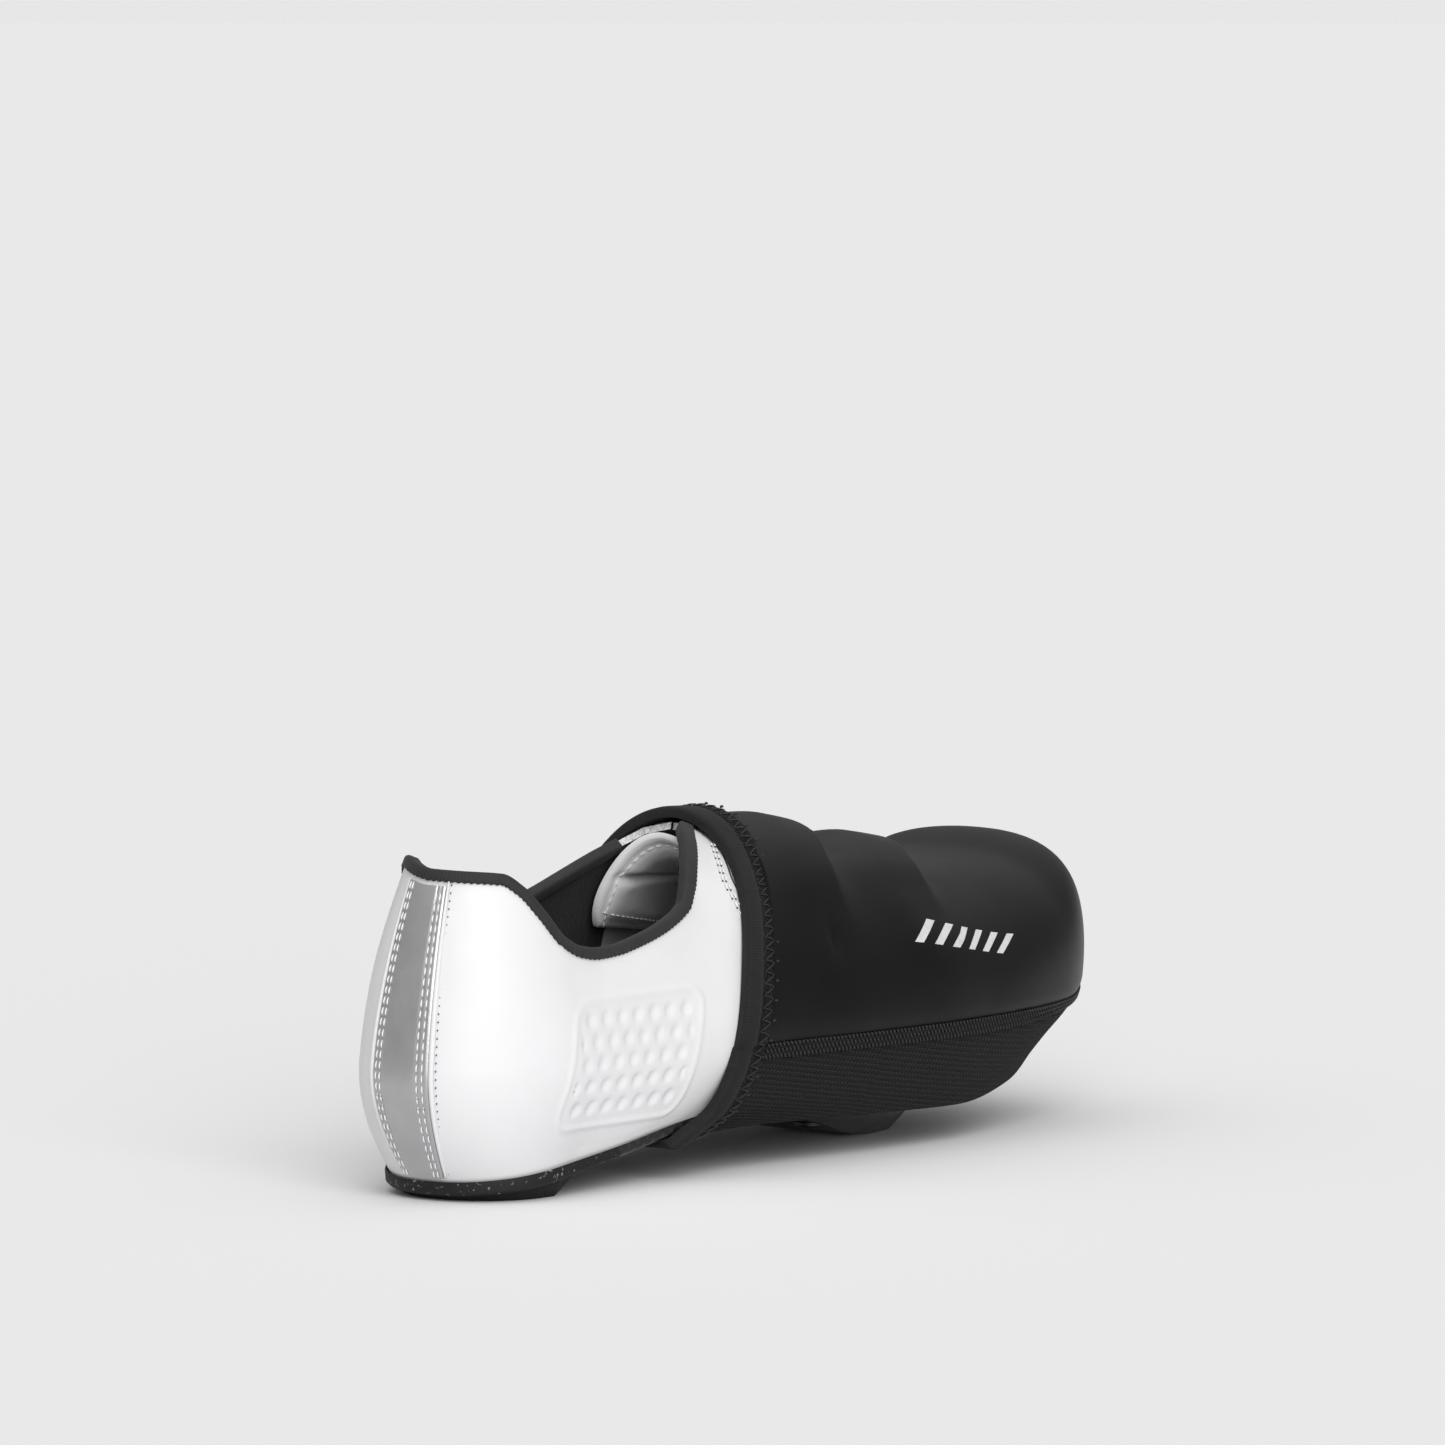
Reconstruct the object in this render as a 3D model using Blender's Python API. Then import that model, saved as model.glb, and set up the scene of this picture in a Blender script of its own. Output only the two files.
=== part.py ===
"""Right road cycling shoe wearing a neoprene toe cover, standing empty on its heel pad and cleat.

The shoe is modelled with its heel's rearmost point at x = 0, the toe towards +x, the wearer's
left towards +y (for this right shoe that is the medial side) and the floor at z = 0. At the end
everything is hung on an empty that puts the middle of the footprint at the origin.

Every curved piece is worked out from one function, last_point, the outside of the upper.
A place on it is (around, up). around runs from 0 at the middle of the heel to 1 at the tip of
the toe, positive along the medial side and negative along the lateral side. up runs from 0 at
the feather edge, where the upper meets the sole, to 1 at the crest.
"""
import math

import bmesh
import bpy
import numpy as np

# Driving sizes of the shoe, in metres
LENGTH = 0.2885
BALL_WIDTH = 0.0965
INSTEP_HEIGHT = 0.0935
ARCH_HEIGHT = 0.0186
HEEL_HEIGHT = 0.0887
HEEL_CENTRE = 0.038
BALL_CENTRE = 0.198
UPPER_WALL = 0.0020
FIT_GAP = 0.0003

# Sole, rand and insole
SOLE_THICKNESS = 0.0020
SOLE_LIP_WIDTH = 0.0012
SOLE_EDGE_BEVEL = 0.0006
INSOLE_THICKNESS = 0.0025

# Heel pad: a wedge under the heel with a sloping front face
PAD_REAR_INSET = 0.0012
PAD_FLOOR_INSET = 0.0035
PAD_FRONT_FLOOR = 0.0395
PAD_FRONT_TOP = 0.0490
PAD_FRONT_EDGE = 0.0008

# Cleat under the ball of the foot
CLEAT_LENGTH = 0.068
CLEAT_WIDTH = 0.046
CLEAT_START = 0.166

# Collar binding, heel strip and tongue
BINDING_THICKNESS = 0.0010
BINDING_WIDTH = 0.0030
THROAT_BINDING_WIDTH = 0.0040
BINDING_ROOF_OUT = 0.0006
BINDING_ROOF_IN = 0.0017
STRIP_THICKNESS = 0.0007
STRIP_FOOT = 0.0016
TONGUE_THICKNESS = 0.0050
TONGUE_EDGE = 0.0022
TONGUE_START = 0.1145
TONGUE_LENGTH = 0.050

# Lace dials, which raise the two lumps in the cover
DIAL_RADIUS = 0.0130
DIAL_HEIGHT = 0.0044
UPPER_DIAL_CENTRE = (0.1500, -0.0080)
LOWER_DIAL_CENTRE = (0.1915, -0.0085)
LUMP_RADIUS = 0.0200
LUMP_HEIGHT = 0.0060

# Toe cover
COVER_WALL = 0.0024
COVER_GAP = 0.0005
KNIT_WALL = 0.0014
BAND_WALL = 0.0030
BAND_LENGTH = 0.0105
BAND_STAND_OFF = 0.0006
KNIT_CLEARANCE = 0.0036
OPENING_LENGTH = 0.084
OPENING_WIDTH = 0.064
OPENING_SQUARENESS = 3.5
OPENING_BINDING_WIDTH = 0.0050
OPENING_BINDING_WALL = 0.0024
COVER_SOLE_DROP = 0.0020

# Places of the columns around the shoe
HEEL_TURN = 0.20
BALL_TURN = 0.60
WIDEST = 0.30
THROAT_FRONT = 0.4275
STRIP_SIDE = 0.036

# How the ends of the last close: share of the width kept at the feather edge, and squareness
HEEL_TUCK = 0.665
TOE_TUCK = 0.74
HEEL_ROUND = 1.42
TOE_ROUND = 4.9
TOE_BULGE = 0.060
TOE_PLAN_ROUND = 2.8
HEEL_PLAN_ROUND = 2.0

# Sections of the last, from heel to toe. along is a share of LENGTH. lateral, medial, shift and
# lean are shares of BALL_WIDTH, feather is a share of ARCH_HEIGHT, widest and crest are shares of
# INSTEP_HEIGHT. tuck is the share of the half width kept at the feather edge. round is the
# squareness of the arch over the foot. Over the collar the crest is the arch that the foot fills.
SECTION_COLUMNS = ("along", "lateral", "medial", "shift", "lean", "feather", "widest", "crest",
                   "tuck", "round")
SECTIONS = (
    (0.000, 0.342, 0.328, 0.000, 0.000, 0.215, 0.374, 1.330, 0.79, 1.42),
    (0.036, 0.342, 0.328, 0.000, 0.000, 0.215, 0.374, 1.330, 0.79, 1.42),
    (0.070, 0.342, 0.328, 0.000, 0.000, 0.262, 0.374, 1.330, 0.79, 1.42),
    (0.133, 0.342, 0.328, 0.000, 0.000, 0.410, 0.374, 1.330, 0.79, 1.42),
    (0.217, 0.350, 0.322, 0.000, 0.000, 0.605, 0.378, 1.270, 0.81, 1.45),
    (0.315, 0.368, 0.316, 0.000, 0.015, 0.860, 0.384, 1.145, 0.83, 1.60),
    (0.402, 0.404, 0.342, 0.000, 0.035, 1.000, 0.385, 1.040, 0.84, 1.80),
    (0.451, 0.430, 0.370, 0.000, 0.040, 0.990, 0.385, 0.998, 0.84, 1.90),
    (0.525, 0.467, 0.418, 0.000, 0.038, 0.910, 0.385, 0.938, 0.84, 2.05),
    (0.594, 0.497, 0.461, 0.000, 0.030, 0.850, 0.385, 0.893, 0.84, 2.15),
    (0.692, 0.520, 0.487, 0.000, 0.018, 0.817, 0.385, 0.832, 0.84, 2.25),
    (0.787, 0.520, 0.487, 0.004, 0.010, 1.020, 0.385, 0.786, 0.84, 2.25),
    (0.874, 0.520, 0.487, 0.010, 0.000, 1.500, 0.388, 0.802, 0.84, 2.25),
    (0.930, 0.520, 0.487, 0.018, 0.000, 1.780, 0.402, 0.870, 0.84, 2.25),
    (1.000, 0.520, 0.487, 0.025, 0.000, 1.930, 0.440, 0.914, 0.84, 2.25),
)

# Height of the collar and throat edge, as shares of HEEL_HEIGHT, at places around the shoe
LATERAL_TOPLINE = (
    ("around", "height"),
    (0.000, 1.000), (0.060, 0.995), (0.120, 0.986), (0.150, 0.946), (0.175, 0.876),
    (0.200, 0.792), (0.2175, 0.754), (0.235, 0.743), (0.255, 0.747), (0.280, 0.764),
    (0.305, 0.788), (0.330, 0.824), (0.340, 0.846), (0.350, 0.890), (0.3675, 0.964),
    (0.385, 1.018), (0.3975, 1.044), (0.4125, 1.056), (0.4275, 1.054),
)
MEDIAL_TOPLINE = (
    ("around", "height"),
    (0.000, 1.000), (0.050, 1.018), (0.080, 1.028), (0.120, 1.020), (0.160, 0.972),
    (0.200, 0.888), (0.235, 0.806), (0.265, 0.790), (0.300, 0.824), (0.3525, 0.896),
    (0.390, 0.952), (0.420, 1.010), (0.4275, 1.054),
)

# Height of the rand that laps up the upper, in shares of ARCH_HEIGHT, and where along LENGTH
SOLE_LIP = (
    ("along", "height"),
    (0.000, 0.060), (0.100, 0.075), (0.160, 0.050), (0.240, 0.030), (1.000, 0.030),
)

# Underside of the cover, in shares of ARCH_HEIGHT, and where along LENGTH
COVER_UNDERSIDE = (
    ("along", "height"),
    (0.250, 0.540), (0.315, 0.640), (0.390, 0.680), (0.520, 0.640), (0.700, 0.620),
    (0.800, 0.900), (0.874, 1.310), (0.930, 1.570), (1.000, 1.720),
)

# Rear edge of the cover: how far along LENGTH it lies at each share of INSTEP_HEIGHT
COVER_REAR_EDGE = (
    ("height", "along"),
    (0.080, 0.268), (0.120, 0.282), (0.200, 0.326), (0.320, 0.346), (0.430, 0.358),
    (0.620, 0.380), (0.800, 0.409), (0.920, 0.429), (1.050, 0.440),
)

# Path of the knit from the seam down the side and under the sole. drop is a share of the fall
# from seam to underside, draw a share of the way in to the sole's edge, and under a share of the
# way from that edge to the opening or the middle of the sole.
KNIT_PATH = (
    ("drop", "draw", "under"),
    (0.00, 0.00, 0.00), (0.22, 0.05, 0.00), (0.45, 0.22, 0.00), (0.68, 0.52, 0.00),
    (0.88, 0.84, 0.00), (1.00, 1.00, 0.03), (1.00, 1.00, 0.55), (1.00, 1.00, 1.00),
)

# Cleat sections from its rear to its nose: shares of CLEAT_LENGTH, CLEAT_WIDTH and ARCH_HEIGHT
CLEAT_SECTIONS = (
    ("along", "width", "floor"),
    (0.00, 0.85, 0.430), (0.14, 0.98, 0.300), (0.32, 1.00, 0.080), (0.50, 0.92, 0.000),
    (0.68, 0.80, 0.000), (0.84, 0.62, 0.160), (1.00, 0.44, 0.370),
)
CLEAT_TOP_WIDTH = 0.86
CLEAT_FLOOR_WIDTH = 0.66
CLEAT_WAIST = 0.45

# Tongue: how its rear edge leans and curves, how far down each side it reaches, and where it thins
TONGUE_ROWS = 7
TONGUE_STEPS = (0.0, 0.08, 0.25, 0.50, 0.75, 1.0)
TONGUE_SIDE_UP = 0.53
TONGUE_REAR_SWEEP = 0.010
TONGUE_REAR_CURVE = 1.5
TONGUE_SIDE_THIN = 4.0
TONGUE_REAR_THIN = 0.25

# Lace dial from its middle out: shares of its radius and height, and how far each ring follows
# the fall of the upper below it
DIAL_PROFILE = (
    ("out", "rise", "follow"),
    (0.00, 1.00, 0.0), (0.62, 1.00, 0.0), (0.78, 0.90, 0.0), (0.86, 0.55, 0.6), (1.00, 0.45, 1.0),
)

# Rear band of the cover, from its rear edge forward: shares of its length and extra thickness
BAND_PROFILE = (
    ("along", "thickness"),
    (0.00, 0.60), (0.35, 1.00), (0.70, 1.00), (1.00, 0.75),
)

# Where the collar binding broadens on the lateral throat edge, as places around the shoe
THROAT_BINDING_FROM = 0.335
THROAT_BINDING_RUN = 0.020
COLLAR_BINDING_END = 0.400

# A first guess of where the cover's rear edge lies, in metres, and how often it is bettered
REAR_GUESS = 0.115
REAR_ROUNDS = 12

# Columns and rows of the meshes
HEEL_COLUMNS = (0.0, 0.5 * STRIP_SIDE, STRIP_SIDE, 0.070, 0.105, 0.140, 0.170)
SIDE_COLUMNS = (HEEL_TURN, 0.2175, 0.235, 0.255, 0.280, 0.305, 0.325, 0.340, 0.350, 0.3675,
                0.385, 0.3975, 0.4125, THROAT_FRONT, 0.455, 0.480, 0.4925, 0.510, 0.535, 0.567)
TOE_COLUMNS = tuple(BALL_TURN + (1.0 - BALL_TURN) * step / 11 for step in range(12))
COLUMNS = HEEL_COLUMNS + SIDE_COLUMNS + TOE_COLUMNS
COVER_FOLLOWS_FROM = 0.480
UPPER_ROWS = (0.0, 0.10, 0.20, WIDEST, 0.40, 0.50, 0.60, 0.70, 0.80, 0.90, 1.0)
COVER_ROWS = tuple(row for row in UPPER_ROWS if row >= WIDEST)
FLAT_SPLIT = 0.6
DIAL_SIDES = 20

# Colours (linear), roughness and metallic value of each material
MATERIALS = {
    "white_microfibre": ((0.82, 0.82, 0.82), 0.42, 0.0),
    "black_binding": ((0.022, 0.022, 0.022), 0.70, 0.0),
    "reflective_strip": ((0.30, 0.30, 0.30), 0.38, 0.35),
    "tongue_padding": ((0.60, 0.60, 0.60), 0.55, 0.0),
    "insole_fabric": ((0.030, 0.030, 0.030), 0.85, 0.0),
    "carbon_sole": ((0.018, 0.018, 0.018), 0.35, 0.0),
    "black_rubber": ((0.014, 0.014, 0.014), 0.60, 0.0),
    "grey_plastic": ((0.060, 0.060, 0.062), 0.45, 0.0),
    "dial_plastic": ((0.70, 0.70, 0.70), 0.35, 0.0),
    "black_neoprene": ((0.012, 0.012, 0.013), 0.40, 0.0),
    "black_knit": ((0.010, 0.010, 0.010), 0.85, 0.0),
    "black_elastic": ((0.014, 0.014, 0.014), 0.75, 0.0),
}


def fair(places, values, at):
    """Read a smooth curve through the rows of a short table, without overshoot."""
    places = np.asarray(places, float)
    values = np.asarray(values, float)
    at = np.clip(np.asarray(at, float), places[0], places[-1])
    step = np.diff(places)
    rise = np.diff(values) / step
    slope = np.zeros(len(places))
    same_way = rise[:-1] * rise[1:] > 0
    total = np.where(same_way, rise[:-1] + rise[1:], 1.0)
    slope[1:-1] = np.where(same_way, 2.0 * rise[:-1] * rise[1:] / total, 0.0)
    slope[0] = rise[0]
    slope[-1] = rise[-1]
    row = np.clip(np.searchsorted(places, at, side="right") - 1, 0, len(step) - 1)
    share = (at - places[row]) / step[row]
    square = share * share
    cube = square * share
    return ((2 * cube - 3 * square + 1) * values[row]
            + (cube - 2 * square + share) * step[row] * slope[row]
            + (3 * square - 2 * cube) * values[row + 1]
            + (cube - square) * step[row] * slope[row + 1])


def read(table, column, place, at):
    """Read one named column of a table whose first row names its columns."""
    names = table[0]
    rows = np.asarray(table[1:], float)
    return fair(rows[:, names.index(place)], rows[:, names.index(column)], at)


def section(column, x):
    """Read one named column of the section table at a place along the shoe, in metres."""
    rows = np.asarray(SECTIONS, float)
    return fair(rows[:, 0], rows[:, SECTION_COLUMNS.index(column)], np.asarray(x) / LENGTH)


def feather_height(x):
    return section("feather", x) * ARCH_HEIGHT


def widest_height(x):
    return section("widest", x) * INSTEP_HEIGHT


def crest_height(x):
    return section("crest", x) * INSTEP_HEIGHT


def plan_shift(x):
    return section("shift", x) * BALL_WIDTH


def superellipse(angle, squareness):
    """Cosine-like and sine-like shares of a quarter of a superellipse."""
    across = np.abs(np.cos(angle))
    along = np.abs(np.sin(angle))
    radius = (across ** squareness + along ** squareness) ** (-1.0 / squareness)
    return across * radius, along * radius


def column_frame(around):
    """Middle line x, reach along x and y, and the shape of the columns at these places."""
    around = np.asarray(around, float)
    side = np.where(around < 0, -1.0, 1.0)
    place = np.abs(around)
    middle = HEEL_CENTRE + (BALL_CENTRE - HEEL_CENTRE) * np.clip(
        (place - HEEL_TURN) / (BALL_TURN - HEEL_TURN), 0.0, 1.0)
    width = np.where(side < 0, section("lateral", middle), section("medial", middle)) * BALL_WIDTH
    heel_angle = 0.5 * math.pi * np.clip(place / HEEL_TURN, 0.0, 1.0)
    heel_back, heel_out = superellipse(heel_angle, HEEL_PLAN_ROUND)
    toe_angle = 0.5 * math.pi * np.clip((place - BALL_TURN) / (1.0 - BALL_TURN), 0.0, 1.0)
    toe_out, toe_front = superellipse(toe_angle, TOE_PLAN_ROUND)
    in_heel = place < HEEL_TURN
    in_toe = place > BALL_TURN
    reach_x = np.where(in_heel, -heel_back * HEEL_CENTRE,
                       np.where(in_toe, toe_front * (LENGTH - BALL_CENTRE), 0.0))
    reach_y = side * width * np.where(in_heel, heel_out, np.where(in_toe, toe_out, 1.0))
    endness = np.where(in_heel, np.cos(heel_angle) ** 2,
                       np.where(in_toe, np.sin(toe_angle) ** 2, 0.0))
    end_tuck = np.where(in_heel, HEEL_TUCK, TOE_TUCK)
    end_round = np.where(in_heel, HEEL_ROUND, TOE_ROUND)
    tuck = section("tuck", middle) * (1 - endness) + end_tuck * endness
    round_over = section("round", middle) * (1 - endness) + end_round * endness
    bulge = np.where(in_toe, TOE_BULGE * endness, 0.0)
    return middle, reach_x, reach_y, tuck, round_over, bulge


def last_point(around, up):
    """Outside of the upper at these places. It runs on over the crest and past the toe's tip."""
    around, up = np.broadcast_arrays(np.asarray(around, float), np.asarray(up, float))
    over = up > 1.0
    around = np.where(over, -around, around)
    up = np.where(over, 2.0 - up, up)
    around = np.where(around > 1.0, around - 2.0, around)
    around = np.where(around < -1.0, around + 2.0, around)
    middle, reach_x, reach_y, tuck, round_over, bulge = column_frame(around)
    low = np.clip(up / WIDEST, None, 1.0)
    high = np.clip((up - WIDEST) / (1.0 - WIDEST), 0.0, 1.0)
    share_out, share_up = superellipse(0.5 * math.pi * high, round_over)
    swell = tuck + (1.0 - tuck) * np.sin(0.5 * math.pi * low)
    share_out = share_out + bulge * np.sin(math.pi * high) * (1.0 - high)
    out = np.where(up < WIDEST, swell, share_out)
    x = middle + reach_x * out
    lean = section("lean", x) * BALL_WIDTH * (1.0 - out * out)
    y = plan_shift(x) + reach_y * out + np.where(up < WIDEST, 0.0, lean)
    widest = widest_height(x)
    z = np.where(up < WIDEST,
                 feather_height(x) + (widest - feather_height(x)) * low,
                 widest + (crest_height(x) - widest) * share_up)
    return np.stack([x, y, z], -1)


def last_normal(around, up):
    """Outward unit normals of the upper at these places."""
    around, up = np.broadcast_arrays(np.asarray(around, float), np.asarray(up, float))
    step = 0.004
    low_up = np.maximum(up - step, 0.0)
    along = last_point(around + step, up) - last_point(around - step, up)
    upward = last_point(around, up + step) - last_point(around, low_up)
    normal = np.cross(upward, along)
    crest = up > 1.0 - 1e-6
    x = last_point(around, up)[..., 0]
    slope = (crest_height(x + 0.001) - crest_height(x - 0.001)) / 0.002
    over_top = np.stack([-slope, np.zeros_like(x), np.ones_like(x)], -1)
    normal = np.where(crest[..., None], over_top, normal)
    return normal / np.linalg.norm(normal, axis=-1, keepdims=True)


def skin(around, up, offset):
    """The upper's outside moved out by offset, or in where offset is negative."""
    offset = np.asarray(offset, float)[..., None]
    return last_point(around, up) + last_normal(around, up) * offset


def station(x):
    """Place around the shoe of the side column at x metres from the heel."""
    return HEEL_TURN + (BALL_TURN - HEEL_TURN) * (x - HEEL_CENTRE) / (BALL_CENTRE - HEEL_CENTRE)


def up_at_height(around, height):
    """How far up the last the given height lies, above its widest line."""
    frame = column_frame(around)
    middle = frame[0]
    round_over = frame[4]
    widest = widest_height(middle)
    rise = np.clip((height - widest) / (crest_height(middle) - widest), 0.0, 1.0)
    out = (1.0 - rise ** round_over) ** (1.0 / round_over)
    return WIDEST + (1.0 - WIDEST) * np.arctan2(rise, out) / (0.5 * math.pi)


def topline_up(around):
    """How far up the upper's wall reaches: the collar and throat edge, then the crest."""
    around = np.asarray(around, float)
    place = np.abs(around)
    lateral = read(LATERAL_TOPLINE, "height", "around", place)
    medial = read(MEDIAL_TOPLINE, "height", "around", place)
    height = np.where(around < 0, lateral, medial) * HEEL_HEIGHT
    return np.where(place < THROAT_FRONT - 1e-6, up_at_height(around, height), 1.0)


def sole_top(x):
    return feather_height(x) - FIT_GAP


def sole_bottom(x):
    return sole_top(x) - SOLE_THICKNESS


def both_sides(columns):
    """Places round the shoe, lateral toe to heel to medial toe, each met once."""
    lateral = [-place for place in reversed(columns)]
    medial = [place for place in columns]
    if columns[0] == 0.0:
        medial = medial[1:]
    return np.array(lateral + medial)


def new_object(name, mesh_maker, material):
    """Make a named object from a bmesh that mesh_maker fills in, closed and facing out."""
    built = bmesh.new()
    mesh_maker(built)
    bmesh.ops.remove_doubles(built, verts=built.verts, dist=1e-6)
    bmesh.ops.dissolve_degenerate(built, edges=built.edges, dist=1e-7)
    bmesh.ops.triangulate(built, faces=built.faces)
    bmesh.ops.recalc_face_normals(built, faces=built.faces)
    mesh = bpy.data.meshes.new(name)
    built.to_mesh(mesh)
    built.free()
    mesh.shade_smooth()
    mesh.set_sharp_from_angle(angle=math.radians(40))
    mesh.materials.append(material)
    thing = bpy.data.objects.new(name, mesh)
    bpy.context.scene.collection.objects.link(thing)
    return thing


def add_grid(built, points):
    """Add the vertices of a grid of points and return them as nested lists."""
    return [[built.verts.new(point) for point in column] for column in points]


def add_face(built, *corners):
    """Add a face, leaving out corners that lie on the one before."""
    kept = []
    for corner in corners:
        if all((corner.co - other.co).length > 1e-7 for other in kept):
            kept.append(corner)
    if len(kept) > 2:
        built.faces.new(kept)


def close_shell(outer, inner, joined, loop):
    """A thin wall between two grids, with rims where it is open.

    Grids run column by column. joined says of each column whether its last row is welded to
    another column's, and loop says that the last column meets the first.
    """
    def fill(built):
        out = add_grid(built, outer)
        into = add_grid(built, inner)
        columns = len(out)
        rows = len(out[0])
        for i in range(columns if loop else columns - 1):
            k = (i + 1) % columns
            for j in range(rows - 1):
                add_face(built, out[i][j], out[k][j], out[k][j + 1], out[i][j + 1])
                add_face(built, into[i][j], into[i][j + 1], into[k][j + 1], into[k][j])
            add_face(built, out[i][0], into[i][0], into[k][0], out[k][0])
            if not (joined[i] and joined[k]):
                add_face(built, out[i][-1], out[k][-1], into[k][-1], into[i][-1])
        if not loop:
            for i in (0, columns - 1):
                for j in range(rows - 1):
                    add_face(built, out[i][j], out[i][j + 1], into[i][j + 1], into[i][j])
    return fill


def close_lens(grid, capped):
    """A solid whose columns run from its middle line on top, round its edge, to that below.

    capped closes the first and last columns with a flat face across both sides.
    """
    def fill(built):
        made = add_grid(built, grid)
        columns = len(made)
        for i in range(columns - 1):
            for j in range(len(made[0]) - 1):
                add_face(built, made[i][j], made[i + 1][j], made[i + 1][j + 1], made[i][j + 1])
        if capped:
            add_face(built, *(made[0] + made[-1][::-1]))
    return fill


def middle_points(around, height):
    """Points on the middle line under these columns, at a height that is a function of x."""
    middle = column_frame(around)[0]
    return np.stack([middle, plan_shift(middle), height(middle)], -1)


def toward_middle(edge, middle, share, height):
    """Points a share of the way from the middle line to an edge, at a height by x."""
    point = middle + (edge - middle) * share
    point[..., 2] = height(point[..., 0])
    return point


def outward(around):
    """Level unit directions out of the upper at its feather edge."""
    direction = last_normal(around, 0.0 * np.asarray(around))
    direction[..., 2] = 0.0
    return direction / np.linalg.norm(direction, axis=-1, keepdims=True)


def make_upper(material):
    around = both_sides(COLUMNS)[:-1]
    top = topline_up(around)
    rows = np.array(UPPER_ROWS)
    up = top[:, None] * rows[None, :]
    covered = np.abs(around) >= THROAT_FRONT - 1e-6
    up = np.where(covered[:, None], rows[None, :], up)
    places = np.repeat(around[:, None], len(rows), 1)
    outer = skin(places, up, np.zeros_like(up))
    inner = skin(places, up, np.full_like(up, -UPPER_WALL))
    return new_object("upper", close_shell(outer, inner, covered, True), material)


def make_sole(material):
    around = both_sides(COLUMNS)
    edge = last_point(around, 0.0 * around)
    out = outward(around)
    x = edge[:, 0]
    lip = read(SOLE_LIP, "height", "along", x / LENGTH) * ARCH_HEIGHT
    lip_up = WIDEST * lip / (widest_height(x) - feather_height(x))
    lip_in = skin(around, lip_up, np.full_like(around, FIT_GAP))
    lip_out = skin(around, lip_up, np.full_like(around, FIT_GAP + 0.7 * SOLE_LIP_WIDTH))
    seat = edge + out * FIT_GAP
    seat[:, 2] = sole_top(x)
    side = edge + out * (FIT_GAP + SOLE_LIP_WIDTH)
    side[:, 2] = sole_bottom(x) + SOLE_EDGE_BEVEL
    under = edge + out * (FIT_GAP + SOLE_LIP_WIDTH - 2.0 * SOLE_EDGE_BEVEL)
    under[:, 2] = sole_bottom(under[:, 0])
    top_middle = middle_points(around, sole_top)
    bottom_middle = middle_points(around, sole_bottom)
    grid = np.stack([
        top_middle,
        toward_middle(edge, top_middle, FLAT_SPLIT, sole_top),
        seat, lip_in, lip_out, side, under,
        toward_middle(edge, bottom_middle, FLAT_SPLIT, sole_bottom),
        bottom_middle,
    ], 1)
    return new_object("sole", close_lens(grid, False), material)


def make_insole(material):
    around = both_sides(COLUMNS)

    def top_height(x):
        return feather_height(x) + INSOLE_THICKNESS

    inner_rim = skin(around, 0.0 * around, np.full_like(around, -UPPER_WALL))
    bottom_edge = inner_rim - outward(around) * 2.0 * FIT_GAP
    top_edge = bottom_edge.copy()
    bottom_edge[:, 2] = feather_height(bottom_edge[:, 0])
    top_edge[:, 2] = top_height(top_edge[:, 0])
    top_middle = middle_points(around, top_height)
    bottom_middle = middle_points(around, feather_height)
    grid = np.stack([
        top_middle,
        toward_middle(top_edge, top_middle, FLAT_SPLIT, top_height),
        top_edge, bottom_edge,
        toward_middle(bottom_edge, bottom_middle, FLAT_SPLIT, feather_height),
        bottom_middle,
    ], 1)
    return new_object("insole", close_lens(grid, False), material)


def make_heel_pad(material):
    front = (station(PAD_FRONT_FLOOR), station(PAD_FRONT_TOP))
    heel = [place for place in COLUMNS if place < HEEL_TURN]
    around = both_sides(tuple(heel) + front)
    edge = last_point(around, 0.0 * around)
    out = outward(around)
    middle = column_frame(around)[0]
    top_edge = edge - out * PAD_REAR_INSET
    floor_edge = edge - out * PAD_FLOOR_INSET

    def top_height(x):
        return sole_bottom(x) - FIT_GAP

    def floor_height(x):
        share = np.clip((x - PAD_FRONT_FLOOR) / (PAD_FRONT_TOP - PAD_FRONT_FLOOR), 0.0, 1.0)
        return share * (top_height(PAD_FRONT_TOP) - PAD_FRONT_EDGE)

    top_edge[:, 2] = top_height(top_edge[:, 0])
    floor_edge[:, 2] = floor_height(floor_edge[:, 0])
    top_middle = np.stack([middle, 0.0 * middle, top_height(middle)], -1)
    floor_middle = np.stack([middle, 0.0 * middle, floor_height(middle)], -1)
    grid = np.stack([
        top_middle, toward_middle(top_edge, top_middle, FLAT_SPLIT, top_height), top_edge,
        floor_edge, floor_middle,
    ], 1)
    return new_object("heel_pad", close_lens(grid, True), material)


def make_cleat(material):
    rows = np.asarray(CLEAT_SECTIONS[1:], float)
    grid = []
    for along, width, floor in rows:
        x = CLEAT_START + along * CLEAT_LENGTH
        half = 0.5 * width * CLEAT_WIDTH
        top = float(sole_bottom(x)) - FIT_GAP
        low = floor * ARCH_HEIGHT
        waist = low + CLEAT_WAIST * (top - low)
        corners = ((CLEAT_TOP_WIDTH * half, top), (half, waist), (CLEAT_FLOOR_WIDTH * half, low))
        ring = [(x, side, height) for side, height in corners]
        ring += [(x, -side, height) for side, height in reversed(corners)]
        grid.append(ring)

    def fill(built):
        made = add_grid(built, grid)
        count = len(made[0])
        for i in range(len(made) - 1):
            for j in range(count):
                k = (j + 1) % count
                add_face(built, made[i][j], made[i][k], made[i + 1][k], made[i + 1][j])
        add_face(built, *made[0])
        add_face(built, *made[-1])
    return new_object("cleat", fill, material)


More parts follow.
